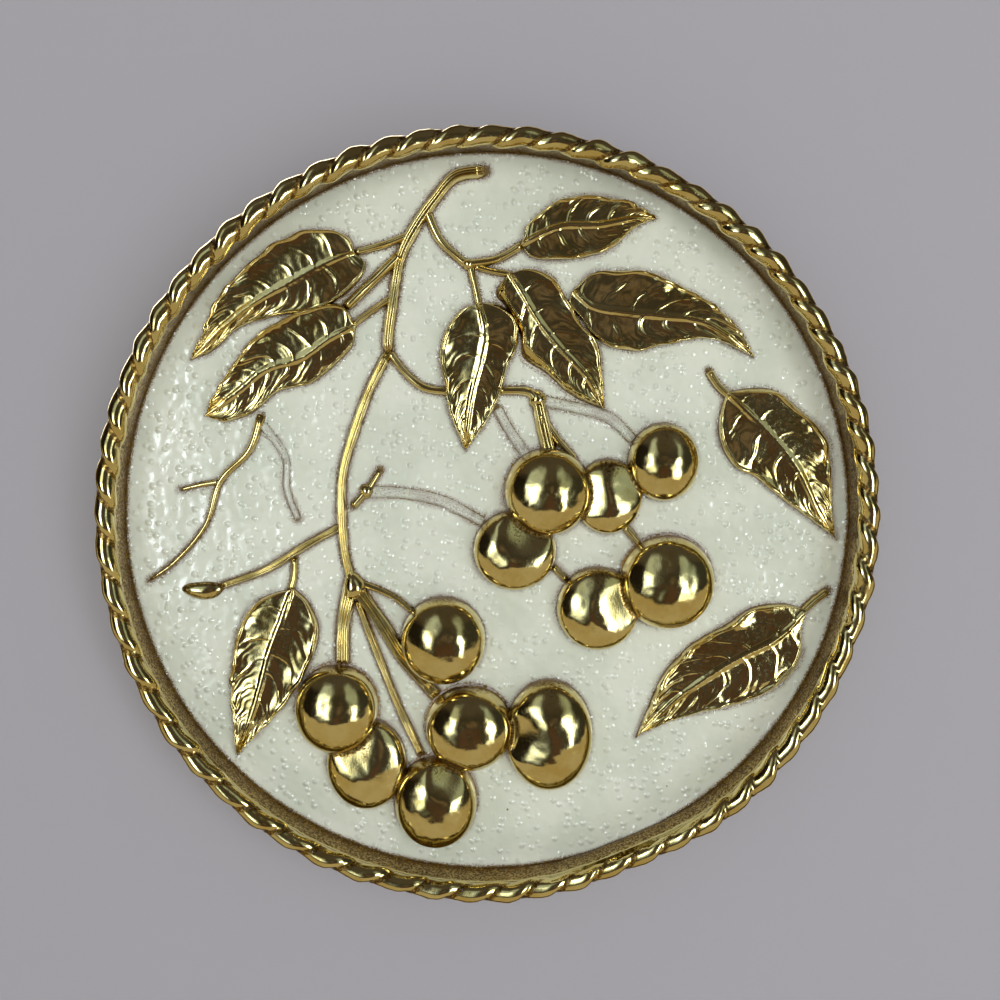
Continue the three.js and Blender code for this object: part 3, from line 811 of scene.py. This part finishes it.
# ------------------------------------------------------------------ the rim
@dataclass
class RopeRim:
    """Twisted rope on an upright band, one closed ring.

    The ring is one profile turned round the disc. Along each strand the rope's radius follows
    sin(pi * t^skew)^0.85, a hump that climbs slowly and falls fast into the groove before the
    next strand. The hump slides round as it goes from the inner to the outer side, so that the
    strands lean.
    """

    rope_radius: float = 113.5      # centre line of the rope
    rope_height: float = 12.7       # centre of the rope above the ground
    rope_thickness: float = 5.8
    lean: float = 6.6               # degrees that a strand runs back from the inner to the outer side
    swell: float = 1.0              # top of a strand above its groove
    sink: float = 0.5               # groove under the plain section
    skew: float = 2.1               # 1 has each strand's top in its middle, more moves it along
    uneven: float = 0.18            # how much the strands differ in height
    dent_at: float = 293            # knock in the rim, in degrees
    dent_spread: float = 11
    dent_depth: float = 1.7
    worn_at: float = 330            # place where the strands are polished down, in degrees
    worn_spread: float = 16
    columns: int = 18               # to each strand
    stretches: tuple[tuple[float, float, int], ...] = ((0, 180, 35), (180, 270, 15), (270, 360, 16))
    inner: Pairs = ((110.3, -0.7), (110.6, 0.1), (110.9, 0.4), (111.2, 1.0), (111.4, 2.0),
                    (111.5, 3.4), (111.55, 5.2), (111.6, 7.0), (111.75, 8.8))
    outer: Pairs = ((115.2, 8.4), (115.0, 6), (114.8, 2.5), (114.5, -2), (114.25, -6), (114.2, -7.6),
                    (113.9, -8), (112.5, -8), (110.3, -8), (110.0, -7.7), (109.6, -6.4), (109.2, -4.6),
                    (108.9, -3.6), (107.9, -3.0), (107.6, -2.6))

    def strand_phase(self, degrees: Array) -> Array:
        """Strands counted from 0 degrees, as a running number."""
        angles = [0.0] + [stop for _, stop, _ in self.stretches]
        counts = np.cumsum([0.0] + [strands for *_, strands in self.stretches])
        turns = np.floor(degrees / 360)
        return np.interp(degrees - 360 * turns, angles, counts) + turns * counts[-1]

    def profile(self) -> tuple[Array, Array, Array]:
        """Radius, height and share across the rope, which is below 0 off the rope.

        It runs from the ground up the inner wall, round the rope, down the band to the land on the
        wall, and up inside to the back.
        """
        turn = np.radians(np.linspace(-58, 236, 34))
        half = self.rope_thickness / 2
        rope_r, rope_h = self.rope_radius - half * np.cos(turn), self.rope_height + half * np.sin(turn)
        r, h = np.vstack([self.inner, np.stack([rope_r, rope_h], -1), self.outer]).T
        off = [np.full(len(line), -1.0) for line in (self.inner, self.outer)]
        return r, h, np.concatenate([off[0], np.linspace(0, 1, len(turn)), off[1]])

    def build(self, material: Material) -> Piece:
        """Turns the profile into the ring, works the strands into it and dresses it."""
        r, h, mark = self.profile()
        strands = sum(count for *_, count in self.stretches)
        degrees = np.linspace(0, 360, strands * self.columns, endpoint=False)[:, None] + 0 * r
        radius, height = r + 0 * degrees, h + 0 * degrees
        share, on_rope = np.clip(mark, 0, 1), mark >= 0
        phase = self.strand_phase(degrees + self.lean * (share - 0.5))
        part = phase - np.floor(phase)
        own = 1 + self.uneven * np.random.default_rng(5).standard_normal(strands)
        bulge = np.sin(math.pi * part**self.skew) ** 0.85
        worn = 1 - 0.3 * np.exp(-((degrees - self.worn_at) / self.worn_spread) ** 2)
        fade = smoothstep(0.02, 0.2, share) * smoothstep(1.0, 0.85, share) * on_rope * worn
        move = (self.swell * bulge * own[np.floor(phase).astype(int) % strands] - self.sink) * fade
        half = self.rope_thickness / 2
        radius, height = (radius + (radius - self.rope_radius) / half * move,
                          height + (height - self.rope_height) / half * move)
        knock = np.exp(-((degrees - self.dent_at) / self.dent_spread) ** 2)
        radius = radius - self.dent_depth * knock * (radius > self.inner[3][0])
        angle = np.radians(degrees)
        x, z = radius * np.cos(angle), radius * np.sin(angle)
        face = (height > 1.0) & (height < 18)
        radius = radius + (0.10 * ripple(x, z, 9, 31) + 0.05 * ripple(x, z, 3, 32)) * face
        skin = ring_skin(place(radius * np.cos(angle), radius * np.sin(angle), height), caps=False)
        # painted shade: the grooves between strands and the cove inside the rope get a low lift, so the
        # tarnish brown darkens them
        groove_shade = smoothstep(0.45, 0.1, bulge) * fade
        lift = np.where(on_rope, 9 - 8.3 * groove_shade, 0.55 + 0.05 * height)
        behind = ~on_rope & ((radius > 112.5) | (height < -1.0))
        skin.lift = np.where(behind, AS_CAST, lift).ravel()
        return make_piece("rope_rim", skin, material)


# ------------------------------------------------------------------ the ground and the back
class Side(Enum):
    """The two sides of a disc."""

    TOP = "top"
    LOW = "low"


@dataclass
class Ground:
    """The painted ground and the cast back behind it.

    Both are discs of rings by columns. The painted skin is a hammered sheet, and rises inside
    each cherry to stay over the hollow behind it. The back follows the hollows.
    """

    cherries: list[Cherry]
    radius: float = 111.4
    recess_radius: float = 108.8
    rings: int = 150
    columns: int = 420
    hammer: tuple[float, float] = (0.07, 0.12)   # height of the small and of the broad hammer marks
    fillet: tuple[float, float] = (6.0, 0.9)     # width and rise where the ground turns up to the rim
    in_cherry: float = 1.4                       # metal between a cherry's face and the ground in it
    over_back: float = 2.6                       # metal between a cherry's face and the back's inner side

    def sheet(self, radius: float) -> tuple[Array, Array]:
        """Plan x and z of rings by columns; the rings are closer together near the edge."""
        t = np.linspace(0, 1, self.rings + 1)[1:, None]
        r = radius * (t * 0.9 + 0.1 * (1 - (1 - t) ** 2))
        angle = np.linspace(0, 2 * math.pi, self.columns, endpoint=False)[None, :]
        return r * np.cos(angle), r * np.sin(angle)

    def under(self, x: Array, z: Array, metal: float, flat: float) -> Array:
        """Height of a shell that lies metal millimetres inside the cherries and is flat outside.

        Inside a cherry's ellipse it rises from the flat level by 1 - r^2.2.
        """
        best = np.full(x.shape, flat)
        for cherry in self.cherries:
            wide, tall = cherry.size[0] - metal, cherry.size[1] - metal
            share = np.hypot((x - cherry.at[0]) / wide, (z - cherry.at[1]) / tall)
            dome = flat + (cherry.height - metal - flat) * np.maximum(1 - share**2.2, 0)
            best = np.maximum(best, np.minimum(dome, cherry.height_at(x, z) - 0.6 * metal))
        return best

    def disc(self, x: Array, z: Array, top: Array, low: Array, hidden: Side) -> Skin:
        """Closed disc between two height fields; the hidden side has every second ring.

        Args:
            x: Plan x on rings by columns, the smallest ring first.
            z: Plan z on the same rings.
            top: Height of the upper side.
            low: Height of the lower side.
            hidden: Side that doesn't show.

        Returns:
            The skin, whose rings run out over the top and back under it.
        """
        out = slice(1, None, 2) if hidden is Side.TOP else slice(None)
        back = slice(None, None, -1) if hidden is Side.TOP else slice(None, None, -2)
        xs, zs = np.vstack([x[out], x[back]]), np.vstack([z[out], z[back]])
        skin = ring_skin(place(xs, zs, np.vstack([top[out], low[back]])))
        centre = len(skin.points) - 2
        skin.points[centre] = place(np.array(0.0), np.array(0.0), top[0].mean())
        skin.points[centre + 1] = place(np.array(0.0), np.array(0.0), low[0].mean())
        return skin

    def build(self, paint: Material, metal: Material, outlines: list[Array],
              stems: list[Stem]) -> list[Piece]:
        """Meshes and dresses the painted ground and the cast back.

        Args:
            paint: Finish of the ground.
            metal: Finish of the back.
            outlines: Outlines of the leaves on the plan.
            stems: Every stem, whose feet the paint thins at.

        Returns:
            The two pieces.
        """
        x, z = self.sheet(self.radius)
        marks = self.hammer[0] * ripple(x, z, 4.2, 11, 22) + self.hammer[1] * ripple(x, z, 16, 12)
        gap, from_rim = self.distance(x, z, outlines, stems), self.radius - np.hypot(x, z)
        width, rise = self.fillet
        flat = marks * smoothstep(0.0, 1.4, gap) + rise * smoothstep(width, 0.0, from_rim) ** 2
        raised = self.under(x, z, self.in_cherry, -0.2)
        top, low = np.maximum(flat, raised), np.maximum(flat - 1.5, raised - 0.9)
        skin = self.disc(x, z, top, low, Side.LOW)
        # near: how close the paint's grey band, thin paint and painted shadow, comes to the forms and the
        # rim
        near = np.minimum(gap, 1.5 * (from_rim - 1.1) + 0.5)
        skin.paint = np.concatenate([np.vstack([near, near[::-2]]).ravel(), [5.0, 5.0]])
        pieces = [make_piece("painted_ground", skin, paint)]
        x, z = self.sheet(self.recess_radius)
        low = np.maximum(-GROUND_THICKNESS + self.hammer[1] * ripple(x, z, 14, 21),
                         self.under(x, z, CHERRY_WALL, -GROUND_THICKNESS))
        back = self.disc(x, z, self.under(x, z, self.over_back, -1.6), low, Side.TOP)
        back.lift = np.full(len(back.points), AS_CAST)
        pieces.append(make_piece("cast_back", back, metal))
        return pieces

    def distance(self, x: Array, z: Array, outlines: list[Array], stems: list[Stem]) -> Array:
        """Distance in millimetres from each plan point to the nearest raised form."""
        best = np.full(x.shape, FAR)
        for cherry in self.cherries:
            best = np.minimum(best, cherry.outside(x, z))
        for loop in outlines:
            best = np.minimum(best, to_line(x, z, loop))
        for stem in stems:
            line = stem.line().at(np.linspace(0, 1, 26))
            half = stem.width / 2 * min(1, (1 + stem.end) / 2)
            best = np.minimum(best, to_line(x, z, line) - half)
        return best


def to_line(x: Array, z: Array, line: Array) -> Array:
    """Distance from plan points to a chain of straight stretches: the least over the stretches.

    Args:
        x: Plan x of the points.
        z: Plan z of the points.
        line: Corners of the chain.

    Returns:
        Distances in millimetres, FAR where the chain is more than 8 mm off.
    """
    best = np.full(x.shape, FAR)
    low, high = line.min(0) - 8, line.max(0) + 8
    near = (x > low[0]) & (x < high[0]) & (z > low[1]) & (z < high[1])
    px, pz = x[near][:, None], z[near][:, None]
    a, b = line[:-1], line[1:]
    step = b - a
    size = np.maximum((step**2).sum(1), 1e-9)
    t = np.clip(((px - a[:, 0]) * step[:, 0] + (pz - a[:, 1]) * step[:, 1]) / size, 0, 1)
    gap = np.hypot(px - a[:, 0] - t * step[:, 0], pz - a[:, 1] - t * step[:, 1])
    best[near] = gap.min(1)
    return best


@dataclass
class HangingLedge:
    """Horseshoe rib in the back recess. Its arch rests on the nail, at the origin."""

    slot: float = 9.0     # width of the slot for the nail's head
    rib: float = 3.5      # thickness of the rib round it
    drop: float = 12.0    # length of the straight legs

    def build(self, material: Material) -> Piece:
        """Carries a rounded section round the horseshoe: two straight legs and half a circle."""
        middle, count = self.slot / 2 + self.rib / 2, 14
        legs, ones = np.linspace(-self.drop, 0, count), np.ones(count)
        turn = np.linspace(0, math.pi, 34)[1:-1]
        out_x = np.concatenate([ones, np.cos(turn), -ones])[:, None]
        out_z = np.concatenate([0 * ones, np.sin(turn), 0 * ones])[:, None]
        centre_z = np.concatenate([legs, 0 * turn, legs[::-1]])[:, None] - self.slot / 2
        half, edge, front = self.rib / 2, 0.5, -5.6
        side, depth = np.array([(-half, front), (-half, -2 * edge), (-half + edge, -edge),
                                (half - edge, -edge), (half, -2 * edge), (half, front)]).T
        points = [out_x * (middle + side), 0 * out_x + depth, centre_z + out_z * (middle + side)]
        skin = ring_skin(np.stack(points, -1) / 1000)
        skin.lift = np.full(len(skin.points), AS_CAST)
        return make_piece("hanging_ledge", skin, material)


# ------------------------------------------------------------------ the whole relief
def cherries() -> list[Cherry]:
    """The twelve cherries, lower bunch first, each told which ones lie on it."""
    made = [
        Cherry("cherry_low_1", (-47.8, -57.8), (13.4, 14.4), 1.02, 2.0, ("cherry_low_2",), bead=0.5),
        Cherry("cherry_low_2", (-38.8, -76), (12.6, 14.8), 0.6, 2.1, slope=0.32),
        Cherry("cherry_low_3", (-17, -88.3), (13.4, 15), 0.94, 2.2, ("cherry_low_2",), bead=0.4),
        Cherry("cherry_low_4", (-6.5, -64.2), (14.2, 13.8), 0.98, 2.5, ("cherry_low_3", "cherry_low_5"),
               bead=0.6),
        Cherry("cherry_low_5", (18.6, -66.8), (13.8, 17.6), 0.9, 2.1, slope=0.65,
               press=((13, -67, 6.5, 0.9),)),
        Cherry("cherry_low_6", (-14.4, -36.2), (13.2, 13.6), 1.02, 2.0),
        Cherry("cherry_top_1", (17.8, 10.2), (13.6, 13.8), 1.02, 2.05, ("cherry_top_4", "cherry_top_2"),
               bead=0.4),
        Cherry("cherry_top_2", (36.4, 8.6), (10.6, 11.6), 0.76, 2.0, slope=0.4),
        Cherry("cherry_top_3", (53.2, 19.2), (10.8, 12), 1.02, 2.0, ("cherry_top_2",)),
        Cherry("cherry_top_4", (7.8, -8), (12.8, 12.4), 0.8, 2.1, slope=0.45),
        Cherry("cherry_top_5", (33.6, -26.4), (12.8, 13), 0.76, 2.15, slope=0.4),
        Cherry("cherry_top_6", (55, -18), (15, 15), 0.95, 2.15, ("cherry_top_5",), bead=0.5),
    ]
    named = {cherry.name: cherry for cherry in made}
    for cherry in made:
        for name in cherry.over:
            named[name].above.append(cherry)
            cherry.below.append(named[name])
    return made


def leaves() -> list[Leaf]:
    """The nine leaves. The outlines run from base to tip."""
    return [
        Leaf("leaf_upper_left", (-40, 82), (-90, 50),
             ((-49.5, 78.2), (-58.6, 73.4), (-70.5, 66.8), (-80, 59.5)),
             ((-36.5, 78.5), (-40.5, 71.5), (-51, 65), (-62, 63.4), (-75, 59.6), (-84, 52)),
             ((-41.4, 86.6), (-51, 88.8), (-63, 85.2), (-74.5, 76), (-82, 67), (-86, 58)),
             lips=(2.0, 3.4), seed=3),
        Leaf("leaf_under_it", (-40, 60.5), (-86.4, 33.2),
             ((-48, 56.6), (-57, 50.6), (-67, 47.5), (-76, 40.5)),
             ((-40.8, 54.5), (-46, 48.8), (-53, 43.4), (-64, 40.4), (-72, 33.8), (-80, 31.4)),
             ((-44, 67), (-53, 66), (-62, 62.6), (-71, 56.5), (-78, 48), (-82.5, 41)),
             height=3.0, lips=(1.8, 2.9), seed=4),
        Leaf("leaf_top_right", (9.4, 84.2), (50.5, 92),
             ((20.7, 89.5), (32.1, 90), (43.5, 91.8)),
             ((11.2, 90), (18.5, 96.4), (27.5, 99.1), (38, 98), (45.7, 95.5)),
             ((12.5, 80.6), (21.6, 79.8), (30.7, 80.9), (38, 84), (43.5, 89.1)), veins=6, seed=5),
        Leaf("leaf_middle", (5.7, 76), (35.2, 34.5),
             ((9.5, 70.5), (15, 61.5), (22, 53), (29.5, 45)),
             ((12, 77.5), (19.4, 75), (23.8, 68), (29, 59.6), (33.4, 54.4), (34.6, 45)),
             ((1.2, 70), (5, 65), (9, 57), (10, 50), (17, 45.6), (25.5, 38.5)),
             veins=6, skirts=(0.5, 2.2), seed=6),
        Leaf("leaf_right", (25, 71), (80.6, 50.7),
             ((31.1, 66), (41.5, 64.3), (52, 63.2), (65.2, 61.1)),
             ((30, 75.6), (37, 77), (48, 76.6), (58.4, 72.3), (69.3, 66), (77, 58)),
             ((23.8, 67.5), (28.4, 61), (33, 55.6), (43, 52.6), (54, 54.8), (67, 56.4)),
             veins=7, seed=7),
        Leaf("leaf_centre", (-3.2, 67.4), (-7.3, 22.3),
             ((-1.4, 58), (-2.6, 50), (-4.8, 42), (-6.5, 33)),
             ((4, 66.8), (8, 61.6), (9, 55), (5.8, 48.6), (4, 41), (-1.4, 30), (-5, 25.6)),
             ((-8.6, 65.4), (-13.4, 58.6), (-15.2, 52.6), (-14, 44), (-12.4, 35), (-9.4, 27)),
             veins=6, height=3.8, seed=8),
        Leaf("leaf_loose_right", (72, 40.4), (108, -5.5),
             ((80, 33), (88, 25), (95, 16), (101.4, 3.5)),
             ((79.1, 42), (87, 41.4), (97, 34), (104.4, 26), (105.8, 14.5), (106.6, 2.5)),
             ((70.4, 34), (70.2, 27), (74.4, 18.4), (82, 14), (91, 6.8), (100, 0.5)),
             veins=6, skirts=(1.2, 0.5), seed=9),
        Leaf("leaf_loose_low", (99, -27), (46, -68.5),
             ((89, -36.5), (79, -41.8), (68, -48.4), (58, -55.8)),
             ((98, -36), (98.6, -43), (92.5, -51.5), (81, -57.5), (68, -60.6), (56, -63.8)),
             ((91.5, -25.3), (83, -26.2), (74, -31.8), (63, -38.4), (54.5, -47.8), (50, -58)),
             veins=7, skirts=(1.6, 0.5), seed=10),
        Leaf("leaf_low_left", (-60.6, -19.6), (-79.6, -73.8),
             ((-64.4, -30), (-68.6, -41), (-71.4, -51), (-75, -62)),
             ((-56, -24), (-52.8, -33), (-55.6, -43.4), (-61, -53), (-67, -60.8), (-74.4, -68)),
             ((-71, -23), (-77.6, -31), (-80, -42), (-81.2, -52), (-80.4, -63)), veins=6, seed=11),
    ]


def sprays() -> list[Spray]:
    """Stems and knots, grouped by the piece they belong to."""
    return [
        Spray("main_branch", [
            Stem(((-1.5, 105.8), (-10, 104.2), (-16.4, 97.3), (-22.3, 89.1), (-26.4, 81), (-28.6, 70),
                  (-30.6, 56), (-30.4, 52.3)), 4.6, 3, 0.8, 2),
            Stem(((-30.4, 52.6), (-36.2, 41.5), (-41, 29), (-44.8, 16), (-45.4, 4), (-44.6, -9),
                  (-42.4, -19)), 3.6, 2.6, 1, 2),
            Stem(((-30.2, 52.6), (-26, 47), (-20, 42), (-12, 40.6)), 2.8, 2, 1),
            Stem(((3, 41), (12.3, 40.4), (14.6, 38)), 3, 2.2, 1.2),
            Stem(((-41.8, 5.6), (-37.4, 10.8), (-33.4, 16.8)), 3.4, 2, 0.5),
        ], (((-42, -19.4), (3.6, 4.6), 3.6), ((14.6, 38.4), (2.8, 2.8), 3.0),
            ((-37.6, 10.4), (2.2, 2.4), 2.4))),
        Spray("upper_right_stalks", [
            Stem(((-18.6, 94), (-14.5, 85.5), (-6.8, 78.4)), 3, 2, 1),
            Stem(((-6.8, 78.6), (2, 80), (9.8, 84.2)), 3, 2.2, 1),
            Stem(((-5.8, 78.4), (-4, 71), (-3, 66)), 2.6, 1.8, 1),
            Stem(((-4.5, 78), (0, 76.8), (6.4, 75.6)), 2.4, 1.8, 1),
        ], (((-6.2, 78.6), (2.2, 1.9), 2.6),)),
        Spray("upper_left_stalks", [
            Stem(((-24, 87), (-31, 84.4), (-40, 82)), 2.6, 2, 1),
            Stem(((-26.6, 81.4), (-34, 74.4), (-43, 66)), 3.6, 2.4, 1),
            Stem(((-29.4, 68.6), (-35, 65), (-41, 60.6)), 2.4, 1.8, 1),
        ]),
        Spray("left_twigs", [
            Stem(((-69.1, 33.6), (-73, 23), (-82, 13.6), (-87, 0), (-97, -11.6), (-104.8, -17.2)), 3.2,
                 2.2, 0.35),
            Stem(((-82, 13.4), (-88, 12.4), (-94.4, 10.9)), 2.4, 1.6, 0.6),
            Stem(((-45.6, -0.6), (-55.5, -5.9), (-69, -14), (-83, -19.2)), 3.2, 2.2, 0.8, 2),
            Stem(((-60.2, -10.4), (-60.4, -16), (-61.6, -20.4)), 2.6, 1.8, 1),
        ], (((-88.4, -20.4), (6.4, 2.8), 2.4),)),
        Spray("loose_stalks", [
            Stem(((66.8, 46.8), (69.5, 42.7), (73.6, 38.8)), 2.8, 2.2, 1),
            Stem(((105.6, -21.4), (101, -25), (96.6, -29.4)), 3, 2.2, 1),
        ]),
        Spray("upper_cherry_stalks", [
            Stem(((14.6, 39), (16.4, 31), (18.5, 22)), 4.4, 2.6, 1.5, 2),
            Stem(((15.4, 34), (20, 27), (26, 20)), 3, 2.2, 1),
            Stem(((41.6, -0.6), (46.6, -6.6)), 2.6, 1.6, 1),
            Stem(((19.6, -13.4), (24, -17.6)), 2.6, 1.6, 1),
        ]),
        Spray("lower_cherry_stalks", [
            Stem(((-42.6, -17.6), (-45.4, -31), (-46, -44)), 5.4, 3.2, 0.9, 3),
            Stem(((-40.4, -18), (-30, -22.6), (-23.6, -27.6)), 2.6, 1.6, 0.8),
            Stem(((-41, -20), (-33, -32), (-27, -42), (-16.6, -54.6)), 5.4, 3, 0.8, 3),
            Stem(((-41, -24), (-34.6, -42), (-28, -59.4), (-21.4, -74)), 3, 2, 1, 2),
        ]),
        Spray("painted_stems", [
            Stem(((-69.1, 31), (-62.2, 20.5), (-62, 11), (-59, 1.8)), 2.8, 1.6, 0.6),
            Stem(((-38, 10), (-27, 9.6), (-15, 7.2), (-2, 0.6)), 4, 1.1, 0.8, 2),
            Stem(((15, 38), (26, 35.8), (36, 33), (44, 26)), 3.6, 1.2, 0.9, 2),
            Stem(((2.4, 35.4), (6, 29), (11.4, 21)), 3.4, 1.2, 0.9, 2),
        ], slot=Slot.CREAM),
    ]


# ------------------------------------------------------------------ stage, light and camera
@dataclass(frozen=True)
class Window:
    """A soft light: place, width and height, power, colour, and whether shine and matt see it."""

    name: str
    at: tuple[float, float, float]
    size: tuple[float, float]
    power: float
    colour: tuple[float, float, float]
    mirrored: bool = True
    diffuse: bool = True


@dataclass(frozen=True)
class Patch:
    """A soft-edged patch of the room: bearing and half width in degrees, low and high, tone.

    The bearing is 0 straight out from the wall and grows to the right. Low and high are heights on
    a ball of radius 1 round the plaque.
    """

    bearing: float
    spread: float
    low: float
    high: float
    tone: str
    soft: float = 5.0

    def over(self, tree: Tree, bearing: bpy.types.Node, height: Socket,
             seen: object) -> bpy.types.Node:
        """The room with this patch painted over what was seen before."""
        spread, soft = math.radians(self.spread), math.radians(self.soft)
        aside = node(tree, "Math", bearing, math.radians(self.bearing), operation="SUBTRACT")
        aside = node(tree, "Math", aside, operation="ABSOLUTE")
        mask = 1.0
        for value, clear, full in ((aside, spread + soft, spread - soft),
                                   (height, self.low - soft, self.low + soft),
                                   (height, self.high + soft, self.high - soft)):
            share = node(tree, "MapRange", value, clear, full, **EASED)
            mask = node(tree, "Math", mask, share, operation="MULTIPLY")
        return node(tree, "Mix", mask, seen, linear(self.tone), **COLOURS)


@dataclass
class Studio:
    """Plain wall and floor, two tall soft windows in a dim room, a pale table, and the camera.

    Places and sizes here are in metres.
    """

    target: tuple[float, float, float] = (0.0, -0.012, -0.092)
    camera_at: tuple[float, float, float] = (-0.0038, -0.351, -0.0412)
    camera_turn: tuple[float, float, float] = (82.79, 0.0, -1.18)
    lens: float = 40.43
    room_tone: str = "#403d39"
    table_tone: str = "#baae8e"
    table_edge: float = 0.63     # how steeply the table's front edge lies below the plaque
    wall_tone: str = "#41382e"   # the wall close by, in the shade of the rim
    behind_tone: str = "#b5aca0"
    fill_tone: str = "#b4b3b0"
    camera_tone: str = "#e6e3de"
    patches: tuple[Patch, ...] = (
        Patch(0, 100, 0.36, 1.2, "#514c47", 8),
        Patch(-72, 26, -1.0, 0.5, "#1f1b18", 6),
        Patch(77, 26, -1.0, 0.5, "#3a3b36", 6),
        Patch(4, 10, -0.5, -0.17, "#574339", 5),
        Patch(6, 5, -0.09, 0.12, "#75675c", 4),
        Patch(-27, 12, -0.33, 0.72, "#c4d6dc", 7),
        Patch(39, 9, -0.45, 0.7, "#a9b9b5", 6),
    )
    windows: tuple[Window, ...] = (
        Window("left_window", (-0.62, -1.04, -0.11), (0.5, 0.8), 1.7, (0.84, 0.95, 1.0), diffuse=False),
        Window("left_pane", (-0.60, -1.01, -0.10), (0.22, 0.46), 2.7, (0.9, 0.97, 1.0), diffuse=False),
        Window("right_window", (0.70, -0.95, -0.36), (0.34, 0.8), 1.9, (0.84, 0.95, 1.0)),
        Window("right_pane", (0.68, -0.92, -0.35), (0.18, 0.46), 2.7, (0.9, 0.97, 1.0), diffuse=False),
        Window("room_light", (0.2, -1.6, 0.2), (1.8, 1.0), 15.0, (1.0, 0.99, 0.96), mirrored=False),
        Window("back_light", (-0.5, 0.9, 0.4), (0.9, 0.9), 9.0, (1.0, 0.97, 0.92)),
    )

    def wall(self) -> None:
        """A wall with a round hole that the plaque covers, and a floor below it."""
        count, plane, low = 96, 0.0005, -0.9
        ring = np.linspace(0, 2 * math.pi, count, endpoint=False)
        x, z = np.cos(ring), np.sin(ring)
        reach = 2.4 / np.maximum(np.abs(x), np.abs(z))
        inner = np.stack([0.112 * x, 0 * x + plane, 0.112 * z - NAIL_TO_CENTRE / 1000], -1)
        outer = np.stack([reach * x, 0 * x + plane, np.maximum(reach * z, low)], -1)
        j = np.arange(count)
        k = (j + 1) % count
        self.stage_mesh("wall", np.vstack([inner, outer]), np.stack([j, count + j, count + k, k], -1),
                        PlainWall("pale_wall_paint", "#a6a4ab", one_sided=True).make())
        corners = np.array([(-3, plane, low), (-3, -4, low), (3, -4, low), (3, plane, low)])
        self.stage_mesh("floor", corners, np.arange(4)[None, :],
                        PlainWall("pale_floor_paint", "#d8d5d0").make())

    def stage_mesh(self, name: str, points: Array, faces: Array, material: Material) -> None:
        """Adds one stage mesh, which doesn't show in the metal."""
        mesh = bpy.data.meshes.new(name)
        mesh.from_pydata(points.tolist(), [], faces.tolist())
        mesh.materials.append(material)
        made = bpy.data.objects.new(name, mesh)
        made.visible_glossy = False
        bpy.context.scene.collection.objects.link(made)
        made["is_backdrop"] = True

    def light(self) -> None:
        """Hangs the windows, each turned to the plaque and hidden from the camera."""
        for window in self.windows:
            lamp = bpy.data.lights.new(window.name, "AREA")
            lamp.shape = "RECTANGLE"
            lamp.size, lamp.size_y = window.size
            lamp.energy, lamp.color = window.power, window.colour
            made = bpy.data.objects.new(window.name, lamp)
            made.location = window.at
            look = Vector(self.target) - Vector(window.at)
            made.rotation_euler = look.to_track_quat("-Z", "Y").to_euler()
            made.visible_camera = False
            made.visible_glossy = window.mirrored
            made.visible_diffuse = window.diffuse
            bpy.context.scene.collection.objects.link(made)

    def room(self) -> None:
        """World: pale to the camera, a dim warm room in the metal, and a low even fill."""
        world = bpy.data.worlds.new("room")
        bpy.context.scene.world = world
        world.use_nodes = True
        tree = world.node_tree
        tree.nodes.clear()
        path = node(tree, "LightPath").outputs
        parts = node(tree, "SeparateXYZ", node(tree, "TexCoord").outputs["Generated"]).outputs
        out = node(tree, "Math", parts["Y"], -1.0, operation="MULTIPLY")
        bearing = node(tree, "Math", parts["X"], out, operation="ARCTAN2")
        seen = linear(self.room_tone)
        for patch in self.patches:
            seen = patch.over(tree, bearing, parts["Z"], seen)
        edge = node(tree, "Math", out, self.table_edge, parts["Z"], **TIMES_PLUS)
        for value, low, high, tone in ((edge, 0.015, -0.015, self.table_tone),
                                       (parts["Y"], -0.05, 0.2, self.wall_tone),
                                       (parts["Y"], 0.45, 0.65, self.behind_tone)):
            share = node(tree, "MapRange", value, low, high, **EASED)
            seen = node(tree, "Mix", share, seen, linear(tone), **COLOURS)
        for ray, tone in (("Is Diffuse Ray", self.fill_tone), ("Is Camera Ray", self.camera_tone)):
            seen = node(tree, "Mix", path[ray], seen, linear(tone), **COLOURS)
        node(tree, "OutputWorld", node(tree, "Background", seen, 1.0))

    def camera(self) -> None:
        """Stands the camera a little above the middle, looking slightly down."""
        data = bpy.data.cameras.new("camera")
        data.lens, data.sensor_width = self.lens, 36.0
        data.clip_start = 0.02
        made = bpy.data.objects.new("camera", data)
        made.location = self.camera_at
        made.rotation_euler = Euler([math.radians(v) for v in self.camera_turn])
        bpy.context.scene.collection.objects.link(made)
        bpy.context.scene.camera = made

    def build(self) -> None:
        """Sets up everything round the plaque."""
        self.camera()
        self.wall()
        self.light()
        self.room()
        bpy.context.scene.view_settings.view_transform = "Standard"


def main() -> None:
    """Builds the studio and every piece."""
    logging.basicConfig(level=logging.INFO, format="%(message)s")
    Studio().build()
    gilt, cream = GiltMetal().make(), CreamPaint().make()
    fruit, foliage, wood = cherries(), leaves(), sprays()
    RopeRim().build(gilt)
    HangingLedge().build(gilt)
    for leaf in foliage:
        leaf.build(gilt)
    for spray in wood:
        spray.build(cream if spray.slot is Slot.CREAM else gilt)
    for cherry in fruit:
        cherry.build(gilt)
    stems = [stem for spray in wood for stem in spray.stems]
    Ground(fruit).build(cream, gilt, [leaf.outline for leaf in foliage], stems)
    boxes = {"cad": CAD_BOX, "visual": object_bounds()}
    boxes = {name: [list(corner) for corner in box] for name, box in boxes.items()}


if __name__ == "__main__":
    main()
